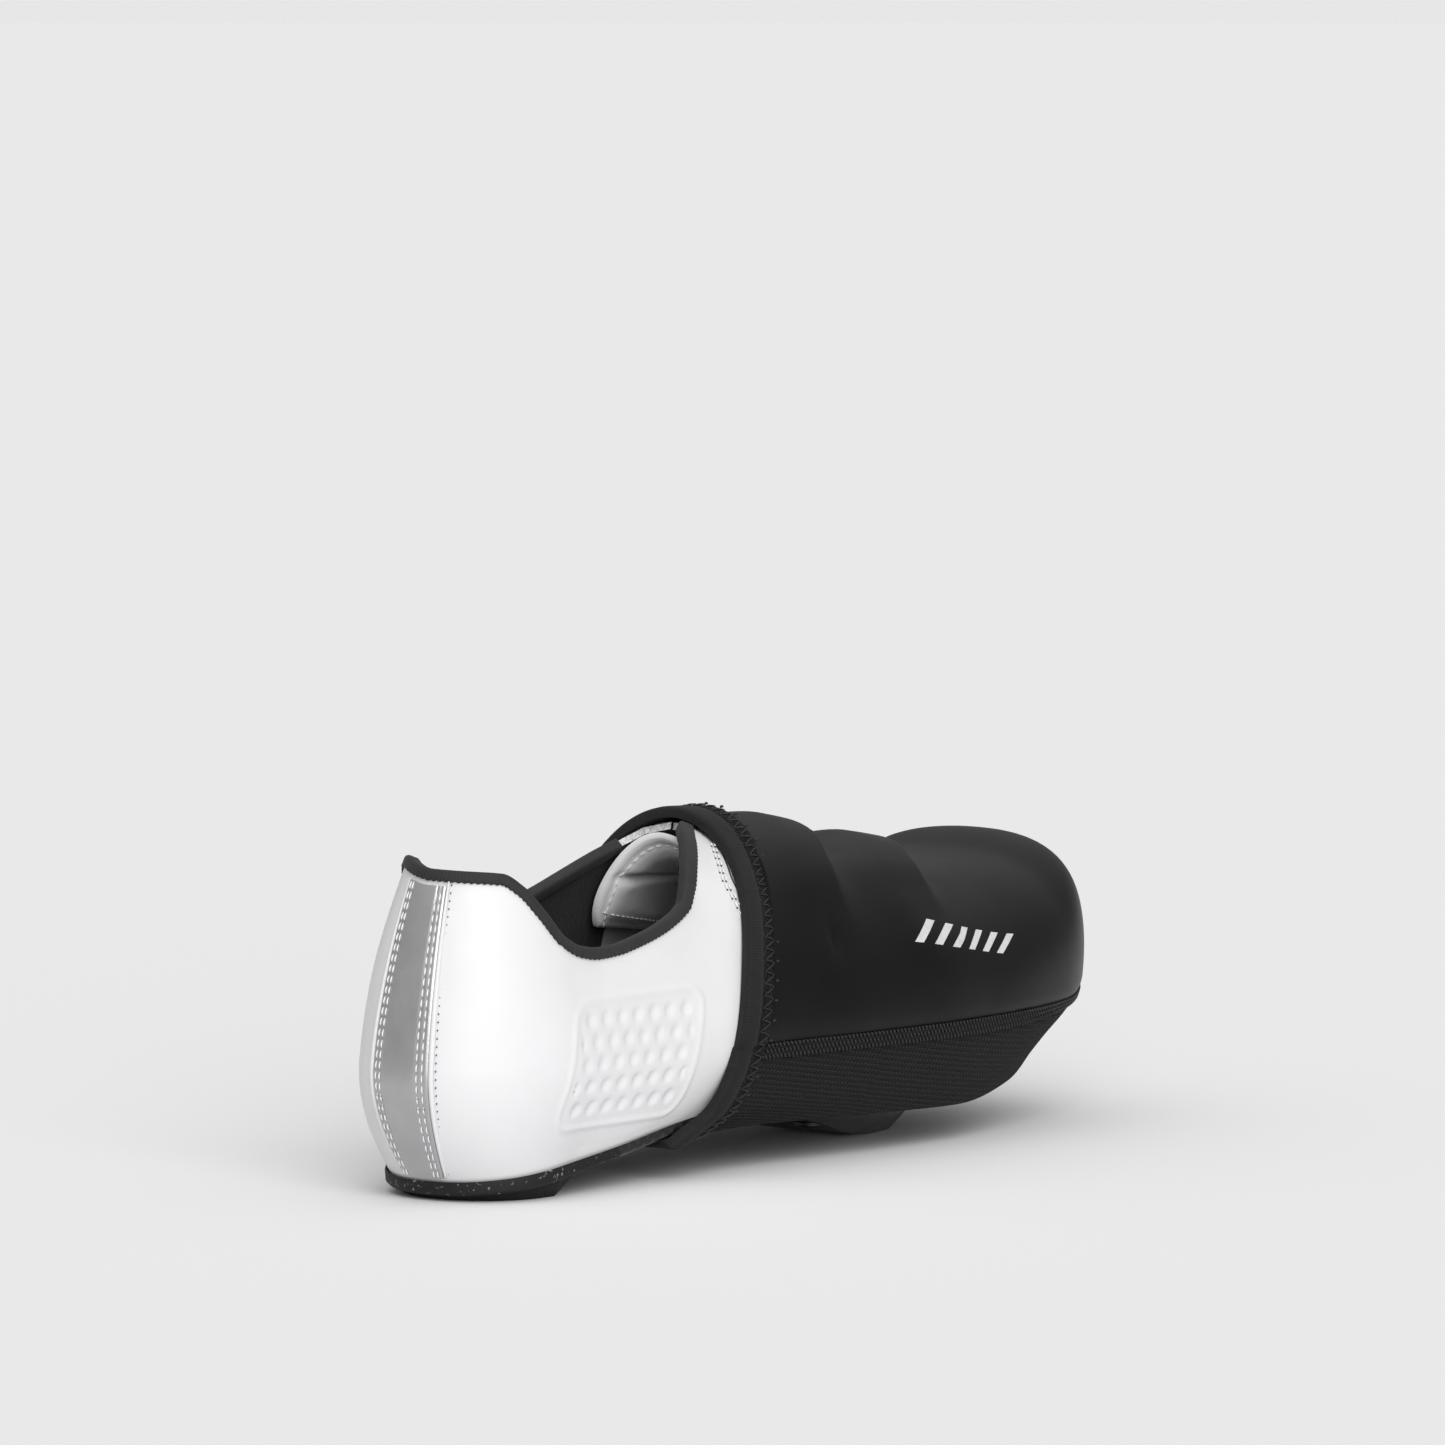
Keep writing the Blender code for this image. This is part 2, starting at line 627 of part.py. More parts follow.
def slide(around, up, move):
    """Places reached by moving along the last by a vector that lies on it."""
    step = 1e-4
    by_around = (last_point(around + step, up) - last_point(around - step, up)) / (2 * step)
    by_up = (last_point(around, up + step) - last_point(around, up - step)) / (2 * step)
    a = (by_around * by_around).sum(-1)
    b = (by_around * by_up).sum(-1)
    c = (by_up * by_up).sum(-1)
    p = (by_around * move).sum(-1)
    q = (by_up * move).sum(-1)
    scale = a * c - b * b
    return around + (c * p - b * q) / scale, up + (a * q - b * p) / scale


def binding_width(around):
    """Width of the collar binding: broad on the lateral throat edge, narrow elsewhere."""
    broad = np.clip((-around - THROAT_BINDING_FROM) / THROAT_BINDING_RUN, 0.0, 1.0)
    return BINDING_WIDTH + (THROAT_BINDING_WIDTH - BINDING_WIDTH) * broad


def make_collar_binding(material):
    places = tuple(place for place in COLUMNS if place < COLLAR_BINDING_END)
    around = both_sides(places)
    up = topline_up(around)
    edge = last_point(around, up)
    along = np.gradient(edge, axis=0)
    along /= np.linalg.norm(along, axis=-1, keepdims=True)
    normal = last_normal(around, up)
    down = np.cross(along, normal)
    down /= np.linalg.norm(down, axis=-1, keepdims=True)
    down *= np.where(down[:, 2] > 0, -1.0, 1.0)[:, None]
    width = binding_width(around)[:, None]
    low_around, low_up = slide(around, up, down * width)
    low = last_point(low_around, low_up)
    low_normal = last_normal(low_around, low_up)
    near = FIT_GAP
    far = FIT_GAP + BINDING_THICKNESS
    inner_near = -(UPPER_WALL + FIT_GAP)
    inner_far = inner_near - BINDING_THICKNESS
    crown = edge - down * FIT_GAP
    roof = edge - down * (FIT_GAP + BINDING_THICKNESS)
    grid = np.stack([
        low + low_normal * near,
        low + low_normal * far,
        edge + normal * far,
        roof + normal * BINDING_ROOF_OUT,
        roof - normal * BINDING_ROOF_IN,
        edge + normal * inner_far,
        low + low_normal * inner_far,
        low + low_normal * inner_near,
        crown + normal * inner_near,
        crown + normal * near,
    ], 1)

    def fill(built):
        made = add_grid(built, grid)
        count = len(made[0])
        for i in range(len(made) - 1):
            for j in range(count):
                k = (j + 1) % count
                add_face(built, made[i][j], made[i][k], made[i + 1][k], made[i + 1][j])
        for ring in (made[0], made[-1]):
            add_face(built, ring[0], ring[1], ring[2], ring[9])
            add_face(built, ring[9], ring[2], ring[3], ring[4], ring[5], ring[8])
            add_face(built, ring[8], ring[5], ring[6], ring[7])
    return new_object("collar_binding", fill, material)


def make_heel_strip(material):
    around = both_sides(tuple(place for place in COLUMNS if place <= STRIP_SIDE))
    x = last_point(around, 0.0 * around)[:, 0]
    lip = read(SOLE_LIP, "height", "along", x / LENGTH) * ARCH_HEIGHT
    foot = WIDEST * (lip + STRIP_FOOT) / (widest_height(x) - feather_height(x))
    top_place = topline_up(around)
    wall_height = last_point(around, top_place)[:, 2]
    head = up_at_height(around, wall_height - BINDING_WIDTH - 2.0 * FIT_GAP)
    rows = np.array(UPPER_ROWS)
    inside = rows[None, 1:-1] * top_place[:, None]
    up = np.concatenate([foot[:, None], inside, head[:, None]], 1)
    up = np.sort(np.clip(up, foot[:, None], head[:, None]), 1)
    places = np.repeat(around[:, None], up.shape[1], 1)
    near = skin(places, up, np.full_like(up, FIT_GAP))
    far = skin(places, up, np.full_like(up, FIT_GAP + STRIP_THICKNESS))
    open_edge = [False] * len(around)
    return new_object("heel_strip", close_shell(far, near, open_edge, False), material)


def make_tongue(material):
    """An arched pad under the throat, thick in the middle and thin at its stitched edge."""
    rows = np.linspace(-1.0, 1.0, 2 * TONGUE_ROWS + 1)
    steps = np.array(TONGUE_STEPS)
    grid_out = []
    grid_in = []
    for row in rows:
        up = 1.0 - abs(row) * (1.0 - TONGUE_SIDE_UP)
        rear = TONGUE_START + TONGUE_REAR_SWEEP * (1.0 - abs(row) ** TONGUE_REAR_CURVE)
        x = rear + (TONGUE_START + TONGUE_LENGTH - rear) * steps
        around = station(x) * (1.0 if row > 0 else -1.0)
        side_share = 1.0 - abs(row) ** TONGUE_SIDE_THIN
        rear_share = np.sin(0.5 * math.pi * np.clip(steps / TONGUE_REAR_THIN, 0.0, 1.0))
        thick = TONGUE_EDGE + (TONGUE_THICKNESS - TONGUE_EDGE) * side_share * rear_share
        top = -(UPPER_WALL + BINDING_THICKNESS + 3.0 * FIT_GAP) * np.ones_like(x)
        grid_out.append(skin(around, np.full_like(x, up), top))
        grid_in.append(skin(around, np.full_like(x, up), top - thick))
    joined = [False] * len(rows)
    return new_object("tongue", close_shell(grid_out, grid_in, joined, False), material)


def lump(x, y):
    """How far the dials lift the cover: two soft lumps."""
    lift = 0.0
    for centre in (UPPER_DIAL_CENTRE, LOWER_DIAL_CENTRE):
        distance = np.hypot(x - centre[0], y - centre[1]) / LUMP_RADIUS
        lift = np.maximum(lift, LUMP_HEIGHT * np.exp(-distance ** 4))
    return lift


def cover_skin(around, up, offset):
    """The outside of the upper, lifted over the dials and moved out by offset."""
    point = last_point(around, up)
    return skin(around, up, offset + lump(point[..., 0], point[..., 1]))


def cover_rear(height):
    """How far along the shoe the cover's rear edge lies at this height."""
    return read(COVER_REAR_EDGE, "along", "height", height / INSTEP_HEIGHT) * LENGTH


def cover_columns(side, up, start_shift):
    """Columns of the cover on one side, from its slanting rear edge to the toe's tip."""
    rear = station(REAR_GUESS)
    for _ in range(REAR_ROUNDS):
        height = last_point(side * rear, up)[..., 2]
        rear = station(cover_rear(height) + start_shift)
    return blend_to_toe(side, rear)


def blend_to_toe(side, rear):
    """Columns from a rear edge into the shared columns of the forefoot."""
    first = [rear + (COVER_FOLLOWS_FROM - rear) * step / 3 for step in range(3)]
    shared = [place for place in COLUMNS if place >= COVER_FOLLOWS_FROM - 1e-6]
    return side * np.array([float(value) for value in first] + shared)


def dial_centre_place(centre):
    """Place on the last that lies above a point given by its x and y."""
    around = -station(centre[0])
    rises = np.linspace(WIDEST, 1.0, 400)
    points = last_point(np.full_like(rises, around), rises)
    return around, float(rises[np.argmin(np.abs(points[:, 1] - centre[1]))])


def make_dial(name, centre, material):
    """A low domed disc that sits on the upper, its underside worked out from the upper's shape."""
    around, up = dial_centre_place(centre)
    seat = last_point(around, up)
    normal = last_normal(around, up)
    across = np.cross(normal, np.array([0.0, 1.0, 0.0]))
    across /= np.linalg.norm(across)
    beside = np.cross(normal, across)
    grid = []
    for step in range(DIAL_SIDES):
        angle = 2.0 * math.pi * step / DIAL_SIDES
        direction = across * math.cos(angle) + beside * math.sin(angle)
        foot = skin(*slide(around, up, direction * DIAL_RADIUS), FIT_GAP)
        halfway = skin(*slide(around, up, direction * 0.5 * DIAL_RADIUS), FIT_GAP)
        drop = float(np.dot(foot - seat, normal))
        ring = []
        for share, rise, follow in DIAL_PROFILE[1:]:
            height = rise * DIAL_HEIGHT + follow * drop
            ring.append(seat + direction * share * DIAL_RADIUS + normal * height)
        ring += [foot, halfway, seat + normal * FIT_GAP]
        grid.append(ring)

    def fill(built):
        made = add_grid(built, grid)
        for i in range(DIAL_SIDES):
            k = (i + 1) % DIAL_SIDES
            for j in range(len(made[0]) - 1):
                add_face(built, made[i][j], made[k][j], made[k][j + 1], made[i][j + 1])
    return new_object(name, fill, material)


def cover_grid(offset, start_shift):
    """The cover's rows from its lateral seam over the crest to the medial seam."""
    lateral = [cover_columns(-1.0, up, start_shift) for up in COVER_ROWS]
    medial = [cover_columns(1.0, up, start_shift) for up in COVER_ROWS]
    rows = []
    for side_rows in (lateral, medial):
        grid = []
        for up, around in zip(COVER_ROWS, side_rows):
            grid.append(cover_skin(around, np.full_like(around, up), offset))
        rows.append(np.array(grid))
    lateral_grid = rows[0].transpose(1, 0, 2)
    medial_grid = rows[1].transpose(1, 0, 2)
    return np.concatenate([lateral_grid, medial_grid[::-1][1:]], 0)


def make_cover_shell(material):
    start = BAND_LENGTH + FIT_GAP
    outer = cover_grid(COVER_GAP + COVER_WALL, start)
    inner = cover_grid(COVER_GAP, start)
    joined = [True] * len(outer)
    return new_object("cover_shell", close_shell(outer, inner, joined, False), material)


def underside_height(x):
    """Height of the cover's underside: its own line, and never above the sole's underside."""
    own = read(COVER_UNDERSIDE, "height", "along", x / LENGTH) * ARCH_HEIGHT
    return np.minimum(own, sole_bottom(x) - COVER_SOLE_DROP)


def opening_reach(around, extra):
    """How far from the middle line the cleat opening reaches on these columns."""
    middle, reach_x, reach_y = column_frame(around)[:3]
    half_length = 0.5 * OPENING_LENGTH + extra
    half_width = 0.5 * OPENING_WIDTH + extra
    back = np.clip((BALL_CENTRE - middle) / half_length, 0.0, 1.0)
    straight = half_width * (1.0 - back ** OPENING_SQUARENESS) ** (1.0 / OPENING_SQUARENESS)
    length = np.hypot(reach_x, reach_y)
    ahead = np.abs(reach_x / length) / half_length
    beside = np.abs(reach_y / length) / half_width
    fan = (ahead ** OPENING_SQUARENESS + beside ** OPENING_SQUARENESS) ** (
        -1.0 / OPENING_SQUARENESS)
    return np.where(np.abs(around) > BALL_TURN, fan, straight)


def knit_point(around, row, inset):
    """A point on the knit's path: down the side, round the sole's edge and in below it."""
    drop, draw, under = KNIT_PATH[1:][row]
    middle = column_frame(around)[0]
    centre = np.stack([middle, 0.0 * middle, 0.0 * middle], -1)
    seam = skin(around, np.full_like(around, WIDEST), np.full_like(around, FIT_GAP + KNIT_WALL))
    edge = last_point(around, 0.0 * around)
    flat_seam = (seam - centre)[..., :2]
    flat_edge = (edge - centre)[..., :2]
    seam_reach = np.linalg.norm(flat_seam, axis=-1)
    edge_reach = np.linalg.norm(flat_edge, axis=-1) + KNIT_CLEARANCE
    direction = flat_seam / seam_reach[..., None]
    inner = opening_reach(around, OPENING_BINDING_WIDTH + FIT_GAP)
    reach = (seam_reach - inset) * (1.0 - draw) + (edge_reach - inset) * draw
    reach = reach * (1.0 - under) + inner * under
    point = centre[..., :2] + direction * reach[..., None]
    low = underside_height(point[..., 0]) + inset
    height = seam[..., 2] * (1.0 - drop) + low * drop
    return np.concatenate([point, height[..., None]], -1)


def knit_rear_columns(side, row, start_shift):
    """Columns of one row of the knit, from the cover's slanting rear edge."""
    rear = station(REAR_GUESS)
    for _ in range(REAR_ROUNDS):
        height = knit_point(np.array([side * rear]), row, 0.0)[0, 2]
        rear = float(station(cover_rear(height) + start_shift))
    return blend_to_toe(side, rear)


def knit_grid(inset, start_shift):
    grids = []
    for side in (-1.0, 1.0):
        rows = []
        for row in range(len(KNIT_PATH) - 1):
            around = knit_rear_columns(side, row, start_shift)
            rows.append(knit_point(around, row, inset))
        grids.append(np.array(rows).transpose(1, 0, 2))
    return np.concatenate([grids[0], grids[1][::-1][1:]], 0)


def make_cover_underside(material):
    start = BAND_LENGTH + FIT_GAP
    outer = knit_grid(0.0, start)
    inner = knit_grid(KNIT_WALL, start)
    for grid in (outer, inner):
        grid[:, 0, 2] -= FIT_GAP
    last_row = outer[:, -1, :]
    joined = [abs(point[1]) < 1e-5 for point in last_row]
    return new_object("cover_underside", close_shell(outer, inner, joined, False), material)


def band_ring(offset, inset, shift):
    """One ring of the rear band, round the foot and under the sole."""
    ring = []
    for side in (-1.0, 1.0):
        half = []
        for row in range(len(KNIT_PATH) - 1, 0, -1):
            rear = knit_rear_columns(side, row - 1, shift)[:1]
            half.append(knit_point(rear, row - 1, inset)[0])
        for up in COVER_ROWS[1:]:
            rear = cover_columns(side, up, shift)[:1]
            half.append(cover_skin(rear, np.full_like(rear, up), offset)[0])
        ring.append(half)
    return np.array(ring[0] + ring[1][::-1][1:])


def make_cover_edge_band(material):
    outer = []
    inner = []
    for step, share in BAND_PROFILE[1:]:
        shift = step * BAND_LENGTH
        thick = KNIT_WALL + (BAND_WALL - KNIT_WALL) * share
        outer.append(band_ring(BAND_STAND_OFF + thick, KNIT_WALL + BAND_STAND_OFF - thick, shift))
        inner.append(band_ring(BAND_STAND_OFF, KNIT_WALL, shift))
    outer = np.array(outer).transpose(1, 0, 2)
    inner = np.array(inner).transpose(1, 0, 2)
    open_edge = [False] * len(outer)
    return new_object("cover_edge_band", close_shell(outer, inner, open_edge, True), material)


def make_opening_binding(material):
    """The folded rim round the cleat opening, held against the sole inside the knit's edge."""
    last_row = len(KNIT_PATH) - 2
    open_places = [place for place in COLUMNS if place > COVER_FOLLOWS_FROM + 1e-6]
    around = both_sides(tuple(open_places))
    rim = knit_point(around, last_row, 0.0)
    middle = middle_points(around, sole_bottom)
    inward = middle - rim
    inward[:, 2] = 0.0
    inward /= np.linalg.norm(inward, axis=-1, keepdims=True)
    outer = rim + inward * FIT_GAP
    inner = rim + inward * (FIT_GAP + OPENING_BINDING_WIDTH)
    rear = float(column_frame(COVER_FOLLOWS_FROM)[0])
    behind = np.array([[rear + 3.0 * FIT_GAP, 0.0, 0.0]])
    before = behind + np.array([[OPENING_BINDING_WIDTH, 0.0, 0.0]])
    half = len(open_places)
    outer = np.insert(outer, half, behind, axis=0)[:-1]
    inner = np.insert(inner, half, before, axis=0)[:-1]
    ring = []
    for near, far in zip(inner, outer):
        corners = []
        for point, depth in ((near, 0.0), (far, 0.0), (far, 1.0), (near, 1.0)):
            top = float(sole_bottom(point[0])) - FIT_GAP
            corners.append((point[0], point[1], top - depth * OPENING_BINDING_WALL))
        ring.append(corners)

    def fill(built):
        made = add_grid(built, ring)
        count = len(made)
        for i in range(count):
            k = (i + 1) % count
            for j in range(4):
                n = (j + 1) % 4
                add_face(built, made[i][j], made[k][j], made[k][n], made[i][n])
    return new_object("cleat_opening_binding", fill, material)


def make_materials():
    made = {}
    for name, (colour, roughness, metallic) in MATERIALS.items():
        material = bpy.data.materials.new(name)
        material.use_nodes = True
        shader = material.node_tree.nodes["Principled BSDF"]
        shader.inputs["Base Color"].default_value = (*colour, 1.0)
        shader.inputs["Roughness"].default_value = roughness
        shader.inputs["Metallic"].default_value = metallic
        material.diffuse_color = (*colour, 1.0)
        made[name] = material
    return made


def centre_on_origin(things):
    """Hang everything on an empty that puts the middle of the footprint at the origin."""
    corners = [vertex.co for thing in things for vertex in thing.data.vertices]
    low = [min(corner[axis] for corner in corners) for axis in range(3)]
    high = [max(corner[axis] for corner in corners) for axis in range(3)]
    stand = bpy.data.objects.new("shoe_centre", None)
    stand.location = (-0.5 * (low[0] + high[0]), -0.5 * (low[1] + high[1]), -low[2])
    bpy.context.scene.collection.objects.link(stand)
    for thing in things:
        thing.parent = stand
    bpy.context.view_layer.update()


def build():
    for thing in list(bpy.data.objects):
        bpy.data.objects.remove(thing, do_unlink=True)
    material = make_materials()
    things = [
        make_upper(material["white_microfibre"]),
        make_sole(material["carbon_sole"]),
        make_insole(material["insole_fabric"]),
        make_heel_pad(material["black_rubber"]),
        make_cleat(material["grey_plastic"]),
        make_collar_binding(material["black_binding"]),
        make_heel_strip(material["reflective_strip"]),
        make_tongue(material["tongue_padding"]),
        make_dial("dial_upper", UPPER_DIAL_CENTRE, material["dial_plastic"]),
        make_dial("dial_lower", LOWER_DIAL_CENTRE, material["dial_plastic"]),
        make_cover_shell(material["black_neoprene"]),
        make_cover_underside(material["black_knit"]),
        make_cover_edge_band(material["black_elastic"]),
        make_opening_binding(material["black_elastic"]),
    ]
    centre_on_origin(things)


build()
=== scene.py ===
"""Looks, light and camera of a right road cycling shoe that wears a neoprene toe cover."""
import math

import bmesh
import bpy
import numpy as np
from mathutils import Matrix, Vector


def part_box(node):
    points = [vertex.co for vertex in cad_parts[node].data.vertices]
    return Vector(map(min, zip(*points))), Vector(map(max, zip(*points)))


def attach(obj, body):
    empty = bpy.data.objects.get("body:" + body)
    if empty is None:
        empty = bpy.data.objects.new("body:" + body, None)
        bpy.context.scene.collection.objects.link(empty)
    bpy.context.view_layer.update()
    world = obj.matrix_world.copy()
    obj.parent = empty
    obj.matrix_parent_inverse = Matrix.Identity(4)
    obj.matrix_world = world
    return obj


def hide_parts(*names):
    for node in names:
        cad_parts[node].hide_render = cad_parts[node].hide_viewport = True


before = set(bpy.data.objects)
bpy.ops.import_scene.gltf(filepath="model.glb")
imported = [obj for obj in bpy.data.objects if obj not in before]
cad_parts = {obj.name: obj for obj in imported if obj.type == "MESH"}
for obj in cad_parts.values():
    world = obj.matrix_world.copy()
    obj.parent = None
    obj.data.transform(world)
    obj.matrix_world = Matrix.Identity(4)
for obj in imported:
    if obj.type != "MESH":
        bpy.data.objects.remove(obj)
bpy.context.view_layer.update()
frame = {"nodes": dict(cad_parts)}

# The last and what lies on it: lengths in metres, and shares of a length or of the way up.
LENGTH = 0.2885
BALL_WIDTH = 0.0965
INSTEP_HEIGHT = 0.0935
ARCH_HEIGHT = 0.0186
HEEL_HEIGHT = 0.0887
HEEL_CENTRE = 0.038
BALL_CENTRE = 0.198
UPPER_WALL = 0.0020
FIT_GAP = 0.0003
SOLE_THICKNESS = 0.0020
SOLE_LIP_WIDTH = 0.0012
SOLE_EDGE_BEVEL = 0.0006
CLEAT_LENGTH = 0.068
CLEAT_WIDTH = 0.046
CLEAT_START = 0.166
BINDING_THICKNESS = 0.0010
BINDING_WIDTH = 0.0030
THROAT_BINDING_WIDTH = 0.0040
STRIP_THICKNESS = 0.0007
STRIP_FOOT = 0.0016
TONGUE_THICKNESS = 0.0050
TONGUE_START = 0.1145
TONGUE_LENGTH = 0.050
UPPER_DIAL_CENTRE = (0.1500, -0.0080)
LOWER_DIAL_CENTRE = (0.1915, -0.0085)
LUMP_RADIUS = 0.0200
LUMP_HEIGHT = 0.0060
COVER_WALL = 0.0024
COVER_GAP = 0.0005
KNIT_WALL = 0.0014
BAND_WALL = 0.0030
BAND_LENGTH = 0.0105
BAND_STAND_OFF = 0.0006
KNIT_CLEARANCE = 0.0036
OPENING_LENGTH = 0.084
OPENING_WIDTH = 0.064
OPENING_SQUARENESS = 3.5
OPENING_BINDING_WIDTH = 0.0050
OPENING_BINDING_WALL = 0.0024
COVER_SOLE_DROP = 0.0020
HEEL_TURN = 0.20
BALL_TURN = 0.60
WIDEST = 0.30
THROAT_FRONT = 0.4275
STRIP_SIDE = 0.036
HEEL_TUCK = 0.665
TOE_TUCK = 0.74
HEEL_ROUND = 1.42
TOE_ROUND = 4.9
TOE_BULGE = 0.060
TOE_PLAN_ROUND = 2.8
HEEL_PLAN_ROUND = 2.0
SECTION_COLUMNS = ("along", "lateral", "medial", "shift", "lean", "feather", "widest", "crest",
                   "tuck", "round")
SECTIONS = (
    (0.000, 0.342, 0.328, 0.000, 0.000, 0.215, 0.374, 1.330, 0.79, 1.42),
    (0.036, 0.342, 0.328, 0.000, 0.000, 0.215, 0.374, 1.330, 0.79, 1.42),
    (0.070, 0.342, 0.328, 0.000, 0.000, 0.262, 0.374, 1.330, 0.79, 1.42),
    (0.133, 0.342, 0.328, 0.000, 0.000, 0.410, 0.374, 1.330, 0.79, 1.42),
    (0.217, 0.350, 0.322, 0.000, 0.000, 0.605, 0.378, 1.270, 0.81, 1.45),
    (0.315, 0.368, 0.316, 0.000, 0.015, 0.860, 0.384, 1.145, 0.83, 1.60),
    (0.402, 0.404, 0.342, 0.000, 0.035, 1.000, 0.385, 1.040, 0.84, 1.80),
    (0.451, 0.430, 0.370, 0.000, 0.040, 0.990, 0.385, 0.998, 0.84, 1.90),
    (0.525, 0.467, 0.418, 0.000, 0.038, 0.910, 0.385, 0.938, 0.84, 2.05),
    (0.594, 0.497, 0.461, 0.000, 0.030, 0.850, 0.385, 0.893, 0.84, 2.15),
    (0.692, 0.520, 0.487, 0.000, 0.018, 0.817, 0.385, 0.832, 0.84, 2.25),
    (0.787, 0.520, 0.487, 0.004, 0.010, 1.020, 0.385, 0.786, 0.84, 2.25),
    (0.874, 0.520, 0.487, 0.010, 0.000, 1.500, 0.388, 0.802, 0.84, 2.25),
    (0.930, 0.520, 0.487, 0.018, 0.000, 1.780, 0.402, 0.870, 0.84, 2.25),
    (1.000, 0.520, 0.487, 0.025, 0.000, 1.930, 0.440, 0.914, 0.84, 2.25),
)
LATERAL_TOPLINE = (
    ("around", "height"),
    (0.000, 1.000), (0.060, 0.995), (0.120, 0.986), (0.150, 0.946), (0.175, 0.876),
    (0.200, 0.792), (0.2175, 0.754), (0.235, 0.743), (0.255, 0.747), (0.280, 0.764),
    (0.305, 0.788), (0.330, 0.824), (0.340, 0.846), (0.350, 0.890), (0.3675, 0.964),
    (0.385, 1.018), (0.3975, 1.044), (0.4125, 1.056), (0.4275, 1.054),
)
MEDIAL_TOPLINE = (
    ("around", "height"),
    (0.000, 1.000), (0.050, 1.018), (0.080, 1.028), (0.120, 1.020), (0.160, 0.972),
    (0.200, 0.888), (0.235, 0.806), (0.265, 0.790), (0.300, 0.824), (0.3525, 0.896),
    (0.390, 0.952), (0.420, 1.010), (0.4275, 1.054),
)
SOLE_LIP = (
    ("along", "height"),
    (0.000, 0.060), (0.100, 0.075), (0.160, 0.050), (0.240, 0.030), (1.000, 0.030),
)
COVER_UNDERSIDE = (
    ("along", "height"),
    (0.250, 0.540), (0.315, 0.640), (0.390, 0.680), (0.520, 0.640), (0.700, 0.620),
    (0.800, 0.900), (0.874, 1.310), (0.930, 1.570), (1.000, 1.720),
)
COVER_REAR_EDGE = (
    ("height", "along"),
    (0.080, 0.268), (0.120, 0.282), (0.200, 0.326), (0.320, 0.346), (0.430, 0.358),
    (0.620, 0.380), (0.800, 0.409), (0.920, 0.429), (1.050, 0.440),
)
KNIT_PATH = (
    ("drop", "draw", "under"),
    (0.00, 0.00, 0.00), (0.22, 0.05, 0.00), (0.45, 0.22, 0.00), (0.68, 0.52, 0.00),
    (0.88, 0.84, 0.00), (1.00, 1.00, 0.03), (1.00, 1.00, 0.55), (1.00, 1.00, 1.00),
)
CLEAT_SECTIONS = (
    ("along", "width", "floor"),
    (0.00, 0.85, 0.430), (0.14, 0.98, 0.300), (0.32, 1.00, 0.080), (0.50, 0.92, 0.000),
    (0.68, 0.80, 0.000), (0.84, 0.62, 0.160), (1.00, 0.44, 0.370),
)
TONGUE_SIDE_UP = 0.53
TONGUE_REAR_SWEEP = 0.010
TONGUE_REAR_CURVE = 1.5
THROAT_BINDING_FROM = 0.335
THROAT_BINDING_RUN = 0.020
REAR_GUESS = 0.115
REAR_ROUNDS = 12


def fair(places, values, at):
    """Read a smooth curve through the rows of a short table, without overshoot."""
    places = np.asarray(places, float)
    values = np.asarray(values, float)
    at = np.clip(np.asarray(at, float), places[0], places[-1])
    step = np.diff(places)
    rise = np.diff(values) / step
    slope = np.zeros(len(places))
    same_way = rise[:-1] * rise[1:] > 0
    total = np.where(same_way, rise[:-1] + rise[1:], 1.0)
    slope[1:-1] = np.where(same_way, 2.0 * rise[:-1] * rise[1:] / total, 0.0)
    slope[0] = rise[0]
    slope[-1] = rise[-1]
    row = np.clip(np.searchsorted(places, at, side="right") - 1, 0, len(step) - 1)
    share = (at - places[row]) / step[row]
    square = share * share
    cube = square * share
    return ((2 * cube - 3 * square + 1) * values[row]
            + (cube - 2 * square + share) * step[row] * slope[row]
            + (3 * square - 2 * cube) * values[row + 1]
            + (cube - square) * step[row] * slope[row + 1])


def read(table, column, place, at):
    """Read one named column of a table whose first row names its columns."""
    names = table[0]
    rows = np.asarray(table[1:], float)
    return fair(rows[:, names.index(place)], rows[:, names.index(column)], at)


def section(column, x):
    """Read one named column of the section table at a place along the shoe, in metres."""
    rows = np.asarray(SECTIONS, float)
    return fair(rows[:, 0], rows[:, SECTION_COLUMNS.index(column)], np.asarray(x) / LENGTH)


def feather_height(x):
    return section("feather", x) * ARCH_HEIGHT


def widest_height(x):
    return section("widest", x) * INSTEP_HEIGHT


def crest_height(x):
    return section("crest", x) * INSTEP_HEIGHT


def plan_shift(x):
    return section("shift", x) * BALL_WIDTH


def superellipse(angle, squareness):
    """Cosine-like and sine-like shares of a quarter of a superellipse."""
    across = np.abs(np.cos(angle))
    along = np.abs(np.sin(angle))
    radius = (across ** squareness + along ** squareness) ** (-1.0 / squareness)
    return across * radius, along * radius


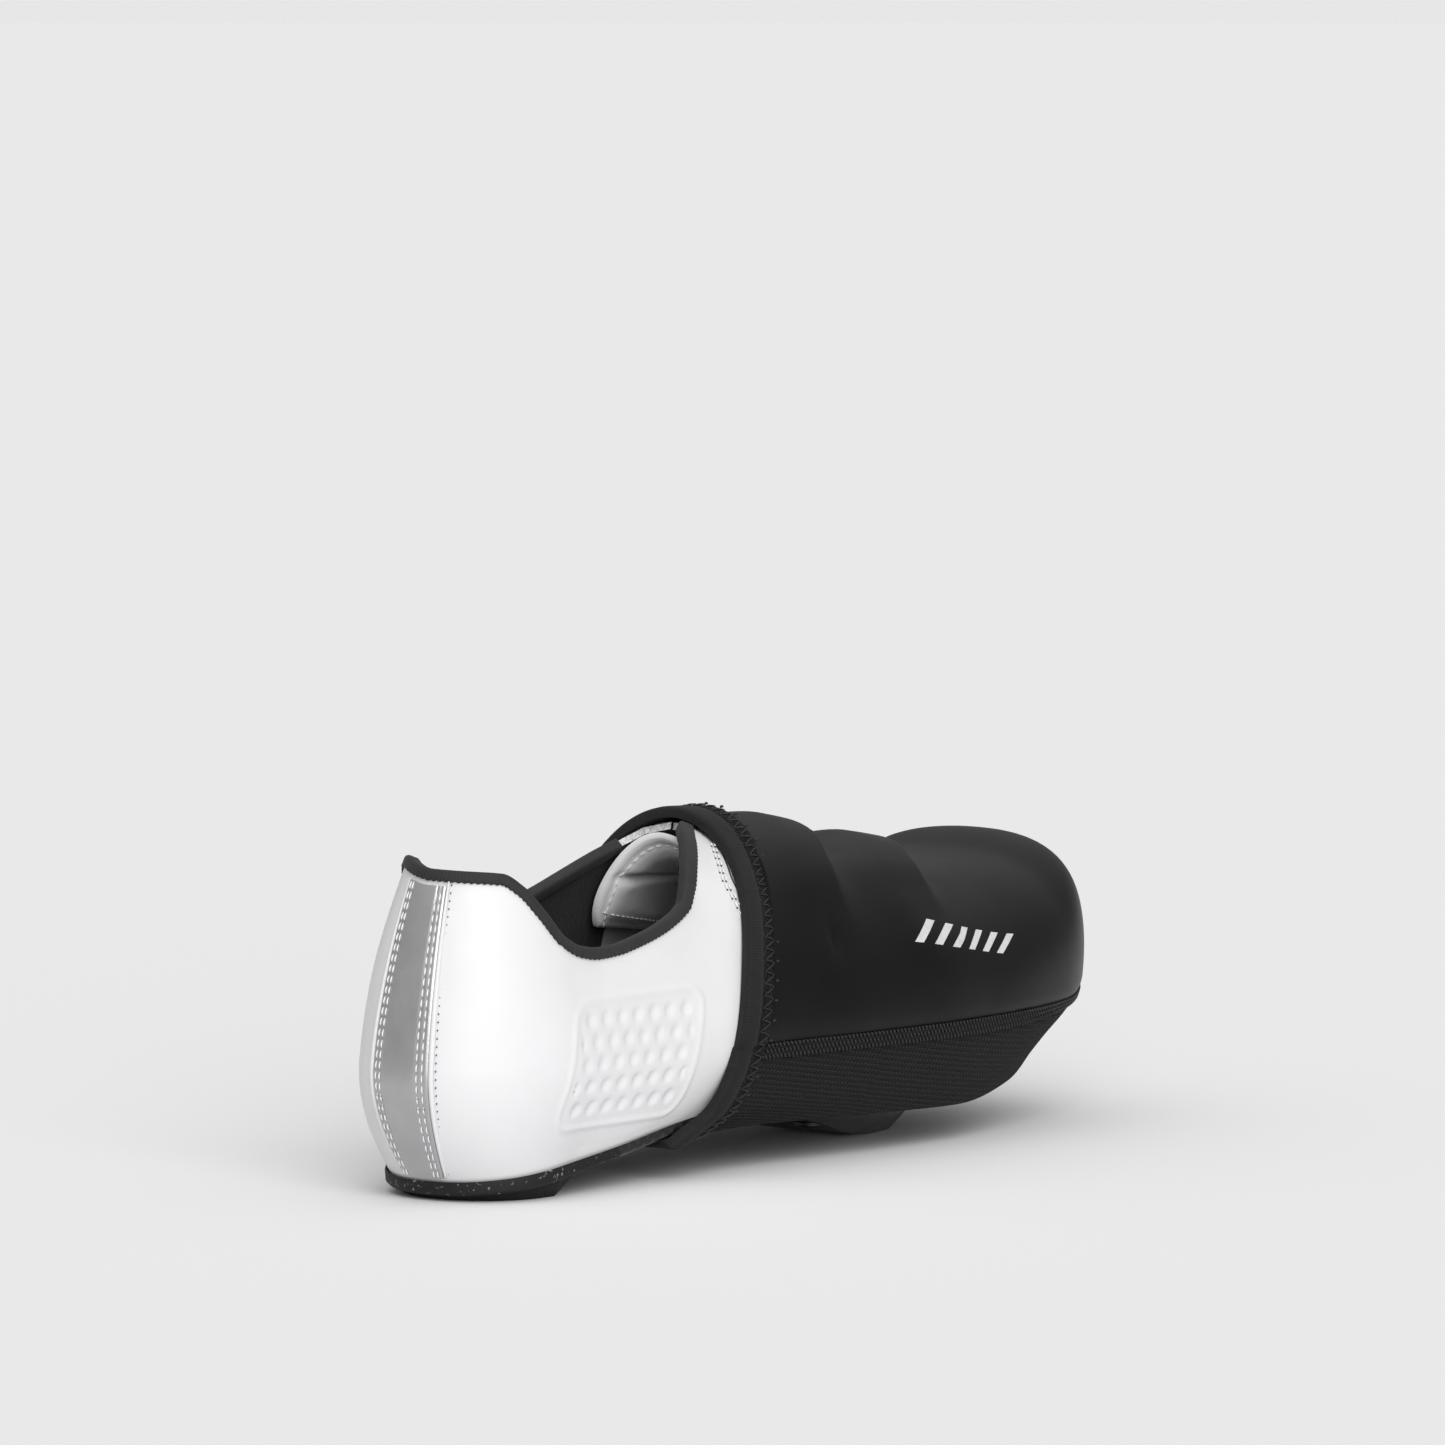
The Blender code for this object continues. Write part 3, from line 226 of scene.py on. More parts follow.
def column_frame(around):
    """Middle line x, reach along x and y, and the shape of the columns at these places."""
    around = np.asarray(around, float)
    side = np.where(around < 0, -1.0, 1.0)
    place = np.abs(around)
    middle = HEEL_CENTRE + (BALL_CENTRE - HEEL_CENTRE) * np.clip(
        (place - HEEL_TURN) / (BALL_TURN - HEEL_TURN), 0.0, 1.0)
    width = np.where(side < 0, section("lateral", middle), section("medial", middle)) * BALL_WIDTH
    heel_angle = 0.5 * math.pi * np.clip(place / HEEL_TURN, 0.0, 1.0)
    heel_back, heel_out = superellipse(heel_angle, HEEL_PLAN_ROUND)
    toe_angle = 0.5 * math.pi * np.clip((place - BALL_TURN) / (1.0 - BALL_TURN), 0.0, 1.0)
    toe_out, toe_front = superellipse(toe_angle, TOE_PLAN_ROUND)
    in_heel = place < HEEL_TURN
    in_toe = place > BALL_TURN
    reach_x = np.where(in_heel, -heel_back * HEEL_CENTRE,
                       np.where(in_toe, toe_front * (LENGTH - BALL_CENTRE), 0.0))
    reach_y = side * width * np.where(in_heel, heel_out, np.where(in_toe, toe_out, 1.0))
    endness = np.where(in_heel, np.cos(heel_angle) ** 2,
                       np.where(in_toe, np.sin(toe_angle) ** 2, 0.0))
    end_tuck = np.where(in_heel, HEEL_TUCK, TOE_TUCK)
    end_round = np.where(in_heel, HEEL_ROUND, TOE_ROUND)
    tuck = section("tuck", middle) * (1 - endness) + end_tuck * endness
    round_over = section("round", middle) * (1 - endness) + end_round * endness
    bulge = np.where(in_toe, TOE_BULGE * endness, 0.0)
    return middle, reach_x, reach_y, tuck, round_over, bulge


def last_point(around, up):
    """Outside of the upper at these places. It runs on over the crest and past the toe's tip."""
    around, up = np.broadcast_arrays(np.asarray(around, float), np.asarray(up, float))
    over = up > 1.0
    around = np.where(over, -around, around)
    up = np.where(over, 2.0 - up, up)
    around = np.where(around > 1.0, around - 2.0, around)
    around = np.where(around < -1.0, around + 2.0, around)
    middle, reach_x, reach_y, tuck, round_over, bulge = column_frame(around)
    low = np.clip(up / WIDEST, None, 1.0)
    high = np.clip((up - WIDEST) / (1.0 - WIDEST), 0.0, 1.0)
    share_out, share_up = superellipse(0.5 * math.pi * high, round_over)
    swell = tuck + (1.0 - tuck) * np.sin(0.5 * math.pi * low)
    share_out = share_out + bulge * np.sin(math.pi * high) * (1.0 - high)
    out = np.where(up < WIDEST, swell, share_out)
    x = middle + reach_x * out
    lean = section("lean", x) * BALL_WIDTH * (1.0 - out * out)
    y = plan_shift(x) + reach_y * out + np.where(up < WIDEST, 0.0, lean)
    widest = widest_height(x)
    z = np.where(up < WIDEST,
                 feather_height(x) + (widest - feather_height(x)) * low,
                 widest + (crest_height(x) - widest) * share_up)
    return np.stack([x, y, z], -1)


def unit(vectors):
    return vectors / np.linalg.norm(vectors, axis=-1, keepdims=True)


def last_normal(around, up):
    """Outward unit normals of the upper at these places."""
    around, up = np.broadcast_arrays(np.asarray(around, float), np.asarray(up, float))
    step = 0.004
    low_up = np.maximum(up - step, 0.0)
    along = last_point(around + step, up) - last_point(around - step, up)
    upward = last_point(around, up + step) - last_point(around, low_up)
    normal = np.cross(upward, along)
    crest = up > 1.0 - 1e-6
    x = last_point(around, up)[..., 0]
    slope = (crest_height(x + 0.001) - crest_height(x - 0.001)) / 0.002
    over_top = np.stack([-slope, np.zeros_like(x), np.ones_like(x)], -1)
    normal = np.where(crest[..., None], over_top, normal)
    return unit(normal)


def skin(around, up, offset):
    """The upper's outside moved out by offset, or in where offset is negative."""
    offset = np.asarray(offset, float)[..., None]
    return last_point(around, up) + last_normal(around, up) * offset


def station(x):
    """Place around the shoe of the side column at x metres from the heel."""
    return HEEL_TURN + (BALL_TURN - HEEL_TURN) * (x - HEEL_CENTRE) / (BALL_CENTRE - HEEL_CENTRE)


def up_at_height(around, height):
    """How far up the last the given height lies, above its widest line."""
    frame = column_frame(around)
    middle = frame[0]
    round_over = frame[4]
    widest = widest_height(middle)
    rise = np.clip((height - widest) / (crest_height(middle) - widest), 0.0, 1.0)
    out = (1.0 - rise ** round_over) ** (1.0 / round_over)
    return WIDEST + (1.0 - WIDEST) * np.arctan2(rise, out) / (0.5 * math.pi)


def topline_up(around):
    """How far up the upper's wall reaches: the collar and throat edge, then the crest."""
    around = np.asarray(around, float)
    place = np.abs(around)
    lateral = read(LATERAL_TOPLINE, "height", "around", place)
    medial = read(MEDIAL_TOPLINE, "height", "around", place)
    height = np.where(around < 0, lateral, medial) * HEEL_HEIGHT
    return np.where(place < THROAT_FRONT - 1e-6, up_at_height(around, height), 1.0)


def sole_top(x):
    return feather_height(x) - FIT_GAP


def sole_bottom(x):
    return sole_top(x) - SOLE_THICKNESS


def middle_points(around, height):
    """Points on the middle line under these columns, at a height that is a function of x."""
    middle = column_frame(around)[0]
    return np.stack([middle, plan_shift(middle), height(middle)], -1)


def toward_middle(edge, middle, share, height):
    """Points a share of the way from the middle line to an edge, at a height by x."""
    point = middle + (edge - middle) * share
    point[..., 2] = height(point[..., 0])
    return point


def outward(around):
    """Level unit directions out of the upper at its feather edge."""
    direction = last_normal(around, 0.0 * np.asarray(around))
    direction[..., 2] = 0.0
    return unit(direction)


def slide(around, up, move):
    """Places reached by moving along the last by a vector that lies on it."""
    step = 1e-4
    by_around = (last_point(around + step, up) - last_point(around - step, up)) / (2 * step)
    by_up = (last_point(around, up + step) - last_point(around, up - step)) / (2 * step)
    a = (by_around * by_around).sum(-1)
    b = (by_around * by_up).sum(-1)
    c = (by_up * by_up).sum(-1)
    p = (by_around * move).sum(-1)
    q = (by_up * move).sum(-1)
    scale = a * c - b * b
    return around + (c * p - b * q) / scale, up + (a * q - b * p) / scale


def binding_width(around):
    """Width of the collar binding: broad on the lateral throat edge, narrow elsewhere."""
    broad = np.clip((-around - THROAT_BINDING_FROM) / THROAT_BINDING_RUN, 0.0, 1.0)
    return BINDING_WIDTH + (THROAT_BINDING_WIDTH - BINDING_WIDTH) * broad


def lump(x, y):
    """How far the dials lift the cover: two soft lumps."""
    lift = 0.0
    for centre in (UPPER_DIAL_CENTRE, LOWER_DIAL_CENTRE):
        distance = np.hypot(x - centre[0], y - centre[1]) / LUMP_RADIUS
        lift = np.maximum(lift, LUMP_HEIGHT * np.exp(-distance ** 4))
    return lift


def cover_rear(height):
    """How far along the shoe the cover's rear edge lies at this height."""
    return read(COVER_REAR_EDGE, "along", "height", height / INSTEP_HEIGHT) * LENGTH


def underside_height(x):
    """Height of the cover's underside: its own line, and never above the sole's underside."""
    own = read(COVER_UNDERSIDE, "height", "along", x / LENGTH) * ARCH_HEIGHT
    return np.minimum(own, sole_bottom(x) - COVER_SOLE_DROP)


def opening_reach(around, extra):
    """How far from the middle line the cleat opening reaches on these columns."""
    middle, reach_x, reach_y = column_frame(around)[:3]
    half_length = 0.5 * OPENING_LENGTH + extra
    half_width = 0.5 * OPENING_WIDTH + extra
    back = np.clip((BALL_CENTRE - middle) / half_length, 0.0, 1.0)
    straight = half_width * (1.0 - back ** OPENING_SQUARENESS) ** (1.0 / OPENING_SQUARENESS)
    length = np.hypot(reach_x, reach_y)
    ahead = np.abs(reach_x / length) / half_length
    beside = np.abs(reach_y / length) / half_width
    fan = (ahead ** OPENING_SQUARENESS + beside ** OPENING_SQUARENESS) ** (
        -1.0 / OPENING_SQUARENESS)
    return np.where(np.abs(around) > BALL_TURN, fan, straight)


# Where the CAD's heel frame lies in the row frame
OFFSET = np.array(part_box("cleat")[0]) - np.array([CLEAT_START, -0.5 * CLEAT_WIDTH, 0.0])


def knit_surface(around, t, inset):
    """A point on the knit's smooth path, where t runs from 0 at the seam to 1 at its inner end."""
    rows = np.asarray(KNIT_PATH[1:], float)
    places = np.linspace(0.0, 1.0, len(rows))
    drop = fair(places, rows[:, 0], t)
    draw = fair(places, rows[:, 1], t)
    under = fair(places, rows[:, 2], t)
    middle = column_frame(around)[0]
    centre = np.stack([middle, 0.0 * middle, 0.0 * middle], -1)
    seam = skin(around, np.full_like(around, WIDEST), np.full_like(around, FIT_GAP + KNIT_WALL))
    edge = last_point(around, 0.0 * around)
    flat_seam = (seam - centre)[..., :2]
    seam_reach = np.linalg.norm(flat_seam, axis=-1)
    edge_reach = np.linalg.norm((edge - centre)[..., :2], axis=-1) + KNIT_CLEARANCE
    direction = flat_seam / seam_reach[..., None]
    inner = opening_reach(around, OPENING_BINDING_WIDTH + FIT_GAP)
    reach = (seam_reach - inset) * (1.0 - draw) + (edge_reach - inset) * draw
    reach = reach * (1.0 - under) + inner * under
    point = centre[..., :2] + direction * reach[..., None]
    low = underside_height(point[..., 0]) + inset
    height = seam[..., 2] * (1.0 - drop) + low * drop
    return np.concatenate([point, height[..., None]], -1)


def cover_rear_station(side, up, shift):
    """Place around the shoe of the cover's rear edge on these rows of the upper."""
    rear = np.full_like(up, station(REAR_GUESS))
    for _ in range(REAR_ROUNDS):
        rear = station(cover_rear(last_point(side * rear, up)[..., 2]) + shift)
    return rear


def knit_rear_station(side, t, shift):
    """Place around the shoe of the cover's rear edge on these rows of the knit."""
    rear = np.full_like(t, station(REAR_GUESS))
    for _ in range(REAR_ROUNDS):
        rear = station(cover_rear(knit_surface(side * rear, t, 0.0)[..., 2]) + shift)
    return rear


def arc_uv(grid):
    """Lengths along the columns and rows of a grid, in metres."""
    along = np.linalg.norm(np.diff(grid, axis=0), axis=-1).mean(1)
    up = np.linalg.norm(np.diff(grid, axis=1), axis=-1)
    u = np.concatenate([[0.0], np.cumsum(along)])[:, None] * np.ones((1, grid.shape[1]))
    v = np.concatenate([np.zeros((grid.shape[0], 1)), np.cumsum(up, 1)], 1)
    return np.stack([u, v], -1)


def fan(side, rear, near_count, far_count):
    """Places of the columns from the cover's rear edge to the toe on one side, row by row."""
    first = np.linspace(0.0, 1.0, near_count)[:-1]
    near = rear[None, :] + (BALL_TURN - rear[None, :]) * first[:, None]
    far = np.linspace(BALL_TURN, 1.0, far_count)[:, None] * np.ones((1, len(rear)))
    return side * np.concatenate([near, far])


def both_sides(lateral, medial):
    """One grid out of two that meet at the toe."""
    return np.concatenate([lateral, medial[::-1][1:]], 0)


def quads(*corners):
    return np.stack([corner.ravel() for corner in corners], -1)


def shell_parts(outer, inner, joined, loop):
    """Vertices, faces, face kinds (0 outside, 1 inside, 2 rim) and lengths of a thin wall."""
    columns, rows = outer.shape[:2]
    out = np.arange(columns * rows).reshape(columns, rows)
    into = out + columns * rows
    k = (np.arange(columns) + 1) % columns
    keep = slice(0, columns if loop else columns - 1)
    o, on, i, n = out[keep], out[k][keep], into[keep], into[k][keep]
    faces = [quads(o[:, :-1], on[:, :-1], on[:, 1:], o[:, 1:]),
             quads(i[:, :-1], i[:, 1:], n[:, 1:], n[:, :-1]),
             quads(o[:, 0], i[:, 0], n[:, 0], on[:, 0])]
    open_rim = ~(joined[keep] & joined[k][keep])
    faces.append(quads(o[open_rim, -1], on[open_rim, -1], n[open_rim, -1], i[open_rim, -1]))
    if not loop:
        for c in (0, columns - 1):
            faces.append(quads(out[c, :-1], out[c, 1:], into[c, 1:], into[c, :-1]))
    kinds = np.concatenate([np.full(len(f), min(n, 2)) for n, f in enumerate(faces)])
    uv = np.concatenate([arc_uv(outer).reshape(-1, 2), arc_uv(inner).reshape(-1, 2)])
    verts = np.concatenate([outer.reshape(-1, 3), inner.reshape(-1, 3)])
    return verts, np.concatenate(faces), kinds, uv


def lens_parts(grid):
    """Vertices, faces, kinds and lengths of a closed form given as rings across it."""
    columns, rows = grid.shape[:2]
    place = np.arange(columns * rows).reshape(columns, rows)
    faces = quads(place[:-1, :-1], place[1:, :-1], place[1:, 1:], place[:-1, 1:])
    return (grid.reshape(-1, 3), faces, np.zeros(len(faces), int), arc_uv(grid).reshape(-1, 2))


def put(name, data):
    """A new object in the scene for this mesh, light or camera."""
    thing = bpy.data.objects.new(name, data)
    bpy.context.scene.collection.objects.link(thing)
    return thing


def set_lengths(mesh, uv):
    """Keep the lengths along and up a piece in its mesh, for the patterns of its material."""
    layer = mesh.uv_layers.new(name="lengths")
    index = np.empty(len(mesh.loops), np.int32)
    mesh.loops.foreach_get("vertex_index", index)
    layer.data.foreach_set("uv", np.asarray(uv, np.float32)[index].ravel())


def shade(mesh, sharp):
    """Smooth shading with edges that stay sharp above an angle in degrees."""
    mesh.shade_smooth()
    mesh.set_sharp_from_angle(angle=math.radians(sharp))


def piece(name, parts, materials, replaces=(), sharp=50):
    """Make a visual piece from parts, riding on the one body."""
    verts, faces, kinds, uv = parts
    mesh = bpy.data.meshes.new(name)
    mesh.from_pydata((np.asarray(verts) + OFFSET).tolist(), [], np.asarray(faces).tolist())
    kinds = np.minimum(np.asarray(kinds), len(materials) - 1).astype(np.int32)
    mesh.polygons.foreach_set("material_index", kinds)
    for material in materials:
        mesh.materials.append(material)
    if uv is not None:
        set_lengths(mesh, uv)
    built = bmesh.new()
    built.from_mesh(mesh)
    bmesh.ops.remove_doubles(built, verts=built.verts, dist=3e-6)
    bmesh.ops.dissolve_degenerate(built, edges=built.edges, dist=1e-7)
    bmesh.ops.recalc_face_normals(built, faces=built.faces)
    built.to_mesh(mesh)
    built.free()
    shade(mesh, sharp)
    thing = put(name, mesh)
    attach(thing, "root")
    if replaces:
        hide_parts(*replaces)
    return thing


# Angle at which a thread's half-wave of thickness starts and ends
THREAD_END = 0.12
# Seams: length of a stitch, gap to the next and height of its arch, in metres
STRIP_STITCH = (0.0021, 0.0008, 0.00030)
TONGUE_STITCH = (0.0019, 0.0010, 0.00035)
FLAP_STITCH = (0.0020, 0.0009, 0.00036)
# Painted shade in the flap's needle holes: length, gap and lift of its dark dots
FLAP_HOLE_SHADE = (0.0006, 0.0023, 0.00004)
HEEL_HOLE = (0.0005, 0.0017, 0.00004)


def tube_parts(paths, radius, sides=6):
    """One mesh of round threads along paths, each closed at its ends."""
    verts = []
    faces = []
    count = 0
    angle = np.arange(sides) * 2.0 * math.pi / sides
    for path in paths:
        path = np.asarray(path, float)
        tangent = np.gradient(path, axis=0)
        tangent /= np.linalg.norm(tangent, axis=-1, keepdims=True) + 1e-12
        helper = (0.0, 0.0, 1.0) if abs(tangent[0][2]) < 0.8 else (1.0, 0.0, 0.0)
        across = unit(np.cross(tangent, helper))
        beside = np.cross(tangent, across)
        taper = np.linspace(THREAD_END, math.pi - THREAD_END, len(path))
        swell = radius * np.sqrt(np.clip(np.sin(taper), 0, 1))
        ring = (path[:, None] + swell[:, None, None] * (
            across[:, None] * np.cos(angle)[None, :, None]
            + beside[:, None] * np.sin(angle)[None, :, None]))
        place = count + np.arange(len(path) * sides).reshape(len(path), sides)
        turn = np.roll(place, -1, 1)
        faces += quads(place[:-1], turn[:-1], turn[1:], place[1:]).tolist()
        faces.append(place[0][::-1].tolist())
        faces.append(place[-1].tolist())
        verts.append(ring.reshape(-1, 3))
        count += len(path) * sides
    return np.concatenate(verts), faces


def thread_piece(name, paths, radius, material, sides=6):
    """Make a visual piece of round threads, riding on the one body."""
    verts, faces = tube_parts(paths, radius, sides)
    mesh = bpy.data.meshes.new(name)
    mesh.from_pydata((verts + OFFSET).tolist(), [], faces)
    mesh.materials.append(material)
    mesh.shade_smooth()
    thing = put(name, mesh)
    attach(thing, "root")


def resample(points, at):
    """Points at lengths along a polyline."""
    length = np.concatenate([[0.0], np.cumsum(np.linalg.norm(np.diff(points, axis=0), axis=-1))])
    return np.stack([np.interp(at, length, points[:, axis]) for axis in range(3)], -1)


def line_length(points):
    return float(np.linalg.norm(np.diff(points, axis=0), axis=-1).sum())


def at_share(points, share):
    """The point a share of the way along a polyline."""
    return resample(points, np.array([share * line_length(points)]))[0]


def stitch_paths(points, normals, stitch, gap, lift):
    """Short arched threads along a line on a surface."""
    total = line_length(points)
    paths = []
    start = 0.5 * gap
    while start + stitch < total:
        at = start + stitch * np.linspace(0.0, 1.0, 6)
        line = resample(points, at)
        normal = resample(points + normals, at) - line
        rise = lift * np.sin(math.pi * np.linspace(0.0, 1.0, 6))[:, None]
        paths.append(line + normal * rise)
        start += stitch + gap
    return paths


# Materials


class Surface:
    """A principled material with helpers for bump and for variation of colour and roughness."""

    def __init__(self, name, colour, roughness, **sockets):
        self.material = bpy.data.materials.new(name)
        self.material.use_nodes = True
        self.tree = self.material.node_tree
        self.shader = self.tree.nodes["Principled BSDF"]
        self.shader.inputs["Base Color"].default_value = (*colour, 1.0)
        self.shader.inputs["Roughness"].default_value = roughness
        for socket, value in sockets.items():
            self.shader.inputs[socket.replace("_", " ")].default_value = value
        self.colour = colour
        self.last_bump = None
        self.material.diffuse_color = (*colour, 1.0)

    def node(self, kind, **values):
        made = self.tree.nodes.new(kind)
        for key, value in values.items():
            if key in made.inputs:
                made.inputs[key].default_value = value
            else:
                setattr(made, key, value)
        return made

    def link(self, source, target):
        self.tree.links.new(source, target)

    def texture(self, kind, output, **values):
        """A texture on the object's own coordinates."""
        made = self.node(kind, **values)
        self.link(self.node("ShaderNodeTexCoord").outputs["Object"], made.inputs["Vector"])
        return made.outputs[output]

    def noise(self, scale, detail=3.0):
        return self.texture("ShaderNodeTexNoise", "Fac", Scale=scale, Detail=detail, Roughness=0.55)

    def cells(self, scale):
        return self.texture("ShaderNodeTexVoronoi", "Distance", Scale=scale)

    def wave(self, pitch_u, pitch_v):
        """A sine of the lengths u and v, from 0 to 1. A pitch of 0 leaves that length out."""
        split = self.node("ShaderNodeSeparateXYZ")
        self.link(self.node("ShaderNodeUVMap", uv_map="lengths").outputs["UV"], split.inputs[0])
        total = None
        for axis, pitch in (("X", pitch_u), ("Y", pitch_v)):
            if not pitch:
                continue
            turned = self.math("MULTIPLY", split.outputs[axis], 2.0 * math.pi / pitch)
            total = turned if total is None else self.math("ADD", total, turned)
        return self.math("MULTIPLY_ADD", self.math("SINE", total), 0.5, 0.5)

    def math(self, operation, first, second=0.0, third=0.0):
        made = self.node("ShaderNodeMath", operation=operation)
        for slot_number, value in enumerate((first, second, third)):
            if isinstance(value, (int, float)):
                made.inputs[slot_number].default_value = value
            else:
                self.link(value, made.inputs[slot_number])
        return made.outputs[0]

    def bump(self, height, distance, strength=1.0):
        made = self.node("ShaderNodeBump", Strength=strength, Distance=distance)
        self.link(height, made.inputs["Height"])
        if self.last_bump is not None:
            self.link(self.last_bump, made.inputs["Normal"])
        self.last_bump = made.outputs["Normal"]
        self.link(self.last_bump, self.shader.inputs["Normal"])
        return self

    def tint(self, factor, low, high, other):
        """Blend the base colour towards another where factor goes from low to high."""
        mix = self.node("ShaderNodeMix", data_type="RGBA")
        self.link(self.spread(factor, "From", low, high), mix.inputs["Factor"])
        source = self.shader.inputs["Base Color"]
        if source.is_linked:
            self.link(source.links[0].from_socket, mix.inputs["A"])
        else:
            mix.inputs["A"].default_value = (*self.colour, 1.0)
        mix.inputs["B"].default_value = (*other, 1.0)
        self.link(mix.outputs["Result"], source)
        return self

    def spread(self, factor, end, low, high):
        """Map a factor from, or to, the range low to high."""
        made = self.node("ShaderNodeMapRange")
        made.inputs[end + " Min"].default_value = low
        made.inputs[end + " Max"].default_value = high
        self.link(factor, made.inputs["Value"])
        return made.outputs["Result"]

    def rough(self, factor, low, high):
        self.link(self.spread(factor, "To", low, high), self.shader.inputs["Roughness"])
        return self


def grey(value):
    return (value, value, value * 1.01)


white = Surface("white_microfibre_finish", grey(0.73), 0.42, Specular_IOR_Level=0.40)
white.bump(white.noise(1400.0, 2.0), 0.00004, 0.5).bump(white.noise(70.0, 3.0), 0.0003, 0.35)
white.tint(white.noise(30.0, 3.0), 0.45, 0.75, grey(0.69)).rough(white.noise(200.0), 0.36, 0.50)

dark_lining = Surface("dark_lining_finish", grey(0.006), 0.92, Sheen_Weight=0.05)
dark_lining.bump(dark_lining.cells(900.0), 0.0003, 0.6)
dark_lining.tint(dark_lining.noise(60.0), 0.5, 0.9, grey(0.012))

pale_lining = Surface("pale_lining_finish", grey(0.52), 0.80, Sheen_Weight=0.10)
pale_lining.bump(pale_lining.noise(900.0, 2.0), 0.0001, 0.5)
pale_lining.tint(pale_lining.noise(50.0), 0.4, 0.8, grey(0.44))

raw_edge = Surface("raw_edge_finish", grey(0.74), 0.85)
raw_edge.bump(raw_edge.cells(1500.0), 0.0004, 0.9)
raw_edge.tint(raw_edge.noise(900.0, 4.0), 0.4, 0.7, grey(0.42))

tape = Surface("binding_tape_finish", grey(0.013), 0.72, Sheen_Weight=0.04)
tape.bump(tape.wave(0.0009, 0.0), 0.00012, 0.6).bump(tape.noise(1600.0, 2.0), 0.0001, 0.5)
tape.tint(tape.noise(300.0), 0.4, 0.8, grey(0.008))

strip = Surface("reflective_strip_finish", grey(0.44), 0.38, Metallic=0.8)
strip.bump(strip.cells(1800.0), 0.00006, 0.5).bump(strip.noise(60.0), 0.0004, 0.4)
strip.tint(strip.noise(45.0, 4.0), 0.35, 0.75, grey(0.56)).rough(strip.noise(120.0), 0.32, 0.48)

tongue_skin = Surface("tongue_padding_finish", grey(0.84), 0.58, Sheen_Weight=0.10)
tongue_skin.bump(tongue_skin.noise(1200.0, 2.0), 0.00008, 0.6)
tongue_skin.bump(tongue_skin.noise(90.0, 3.0), 0.0006, 0.4)
tongue_skin.tint(tongue_skin.noise(40.0), 0.4, 0.8, grey(0.74))

neoprene = Surface("neoprene_finish", grey(0.0025), 0.42, Specular_IOR_Level=0.20,
                   Sheen_Weight=0.02, Sheen_Roughness=0.40)
neoprene.bump(neoprene.noise(2200.0, 2.0), 0.00003, 0.5)
neoprene.bump(neoprene.noise(45.0, 2.0), 0.0005, 0.35)
neoprene.tint(neoprene.noise(25.0, 3.0), 0.4, 0.8, grey(0.0040))
neoprene.rough(neoprene.noise(60.0, 3.0), 0.38, 0.48)

knit = Surface("knit_with_painted_rib_highlight", grey(0.0030), 0.88, Specular_IOR_Level=0.3, Sheen_Weight=0.03,
               Sheen_Roughness=0.6)
courses = knit.wave(0.0110, -0.0015)
wales = knit.wave(0.0016, 0.0040)
knit.bump(courses, 0.0006, 0.9).bump(knit.math("MULTIPLY", courses, wales), 0.0006, 0.9)
knit.bump(knit.noise(1500.0, 2.0), 0.0002, 0.5)
# Painted highlight: the knit's colour turns lighter where its courses and wales stand highest, as if
# those rib tops caught the light.
knit.tint(knit.math("MULTIPLY", courses, wales), 0.30, 0.95, grey(0.016))

overlock = Surface("overlock_finish", grey(0.0030), 0.85, Specular_IOR_Level=0.3, Sheen_Weight=0.04)
overlock.bump(overlock.wave(0.0013, 0.0030), 0.0003, 0.9)
overlock.bump(overlock.noise(1500.0, 2.0), 0.0002, 0.6)
overlock.tint(overlock.noise(700.0, 3.0), 0.45, 0.8, grey(0.007))

elastic = Surface("elastic_finish", grey(0.0048), 0.78, Specular_IOR_Level=0.35, Sheen_Weight=0.04)
elastic.bump(elastic.wave(0.0008, 0.0), 0.00015, 0.7).bump(elastic.noise(1500.0, 2.0), 0.0001, 0.5)
elastic.tint(elastic.noise(400.0), 0.4, 0.8, grey(0.0075))

rough_tape = Surface("rough_tape_finish", grey(0.0028), 0.95, Specular_IOR_Level=0.2,
                     Sheen_Weight=0.05)
rough_tape.bump(rough_tape.cells(1300.0), 0.0005, 0.9).bump(rough_tape.noise(900.0), 0.0004, 0.8)
rough_tape.tint(rough_tape.noise(800.0, 4.0), 0.45, 0.75, grey(0.009))

black_thread = Surface("black_thread_finish", grey(0.0075), 0.60, Sheen_Weight=0.05)
black_thread.bump(black_thread.noise(4000.0), 0.0001, 0.6)
white_thread = Surface("white_thread_finish", grey(0.80), 0.60, Sheen_Weight=0.1)
white_thread.bump(white_thread.noise(4000.0), 0.0001, 0.6)

carbon = Surface("carbon_sole_finish", grey(0.006), 0.34, Coat_Weight=0.4, Coat_Roughness=0.10)
weave = carbon.math("MULTIPLY", carbon.wave(0.004, 0.004), carbon.wave(0.004, -0.004))
carbon.bump(weave, 0.00008, 0.4).tint(weave, 0.2, 0.7, grey(0.022))
carbon.rough(carbon.noise(250.0), 0.30, 0.42)

rand = Surface("rand_finish", grey(0.006), 0.62, Specular_IOR_Level=0.35)
rand.bump(rand.noise(900.0, 3.0), 0.00015, 0.5).tint(rand.noise(650.0, 6.0), 0.61, 0.68, grey(0.30))

rubber = Surface("heel_rubber_finish", grey(0.006), 0.66, Specular_IOR_Level=0.35)
rubber.bump(rubber.noise(700.0, 4.0), 0.0002, 0.6).tint(rubber.noise(90.0), 0.5, 0.8, grey(0.011))

cleat_plastic = Surface("cleat_plastic_finish", grey(0.095), 0.46)
cleat_plastic.bump(cleat_plastic.noise(1200.0, 2.0), 0.00008, 0.5)
cleat_plastic.tint(cleat_plastic.noise(60.0, 4.0), 0.45, 0.8, grey(0.060))
cleat_plastic.rough(cleat_plastic.noise(200.0), 0.40, 0.55)

steel = Surface("bolt_finish", grey(0.06), 0.36, Metallic=1.0)
steel.bump(steel.noise(900.0), 0.00004, 0.4)

footbed = Surface("footbed_finish", grey(0.030), 0.92, Sheen_Weight=0.15)
footbed.bump(footbed.cells(1100.0), 0.0003, 0.7).tint(footbed.noise(120.0), 0.4, 0.8, grey(0.045))

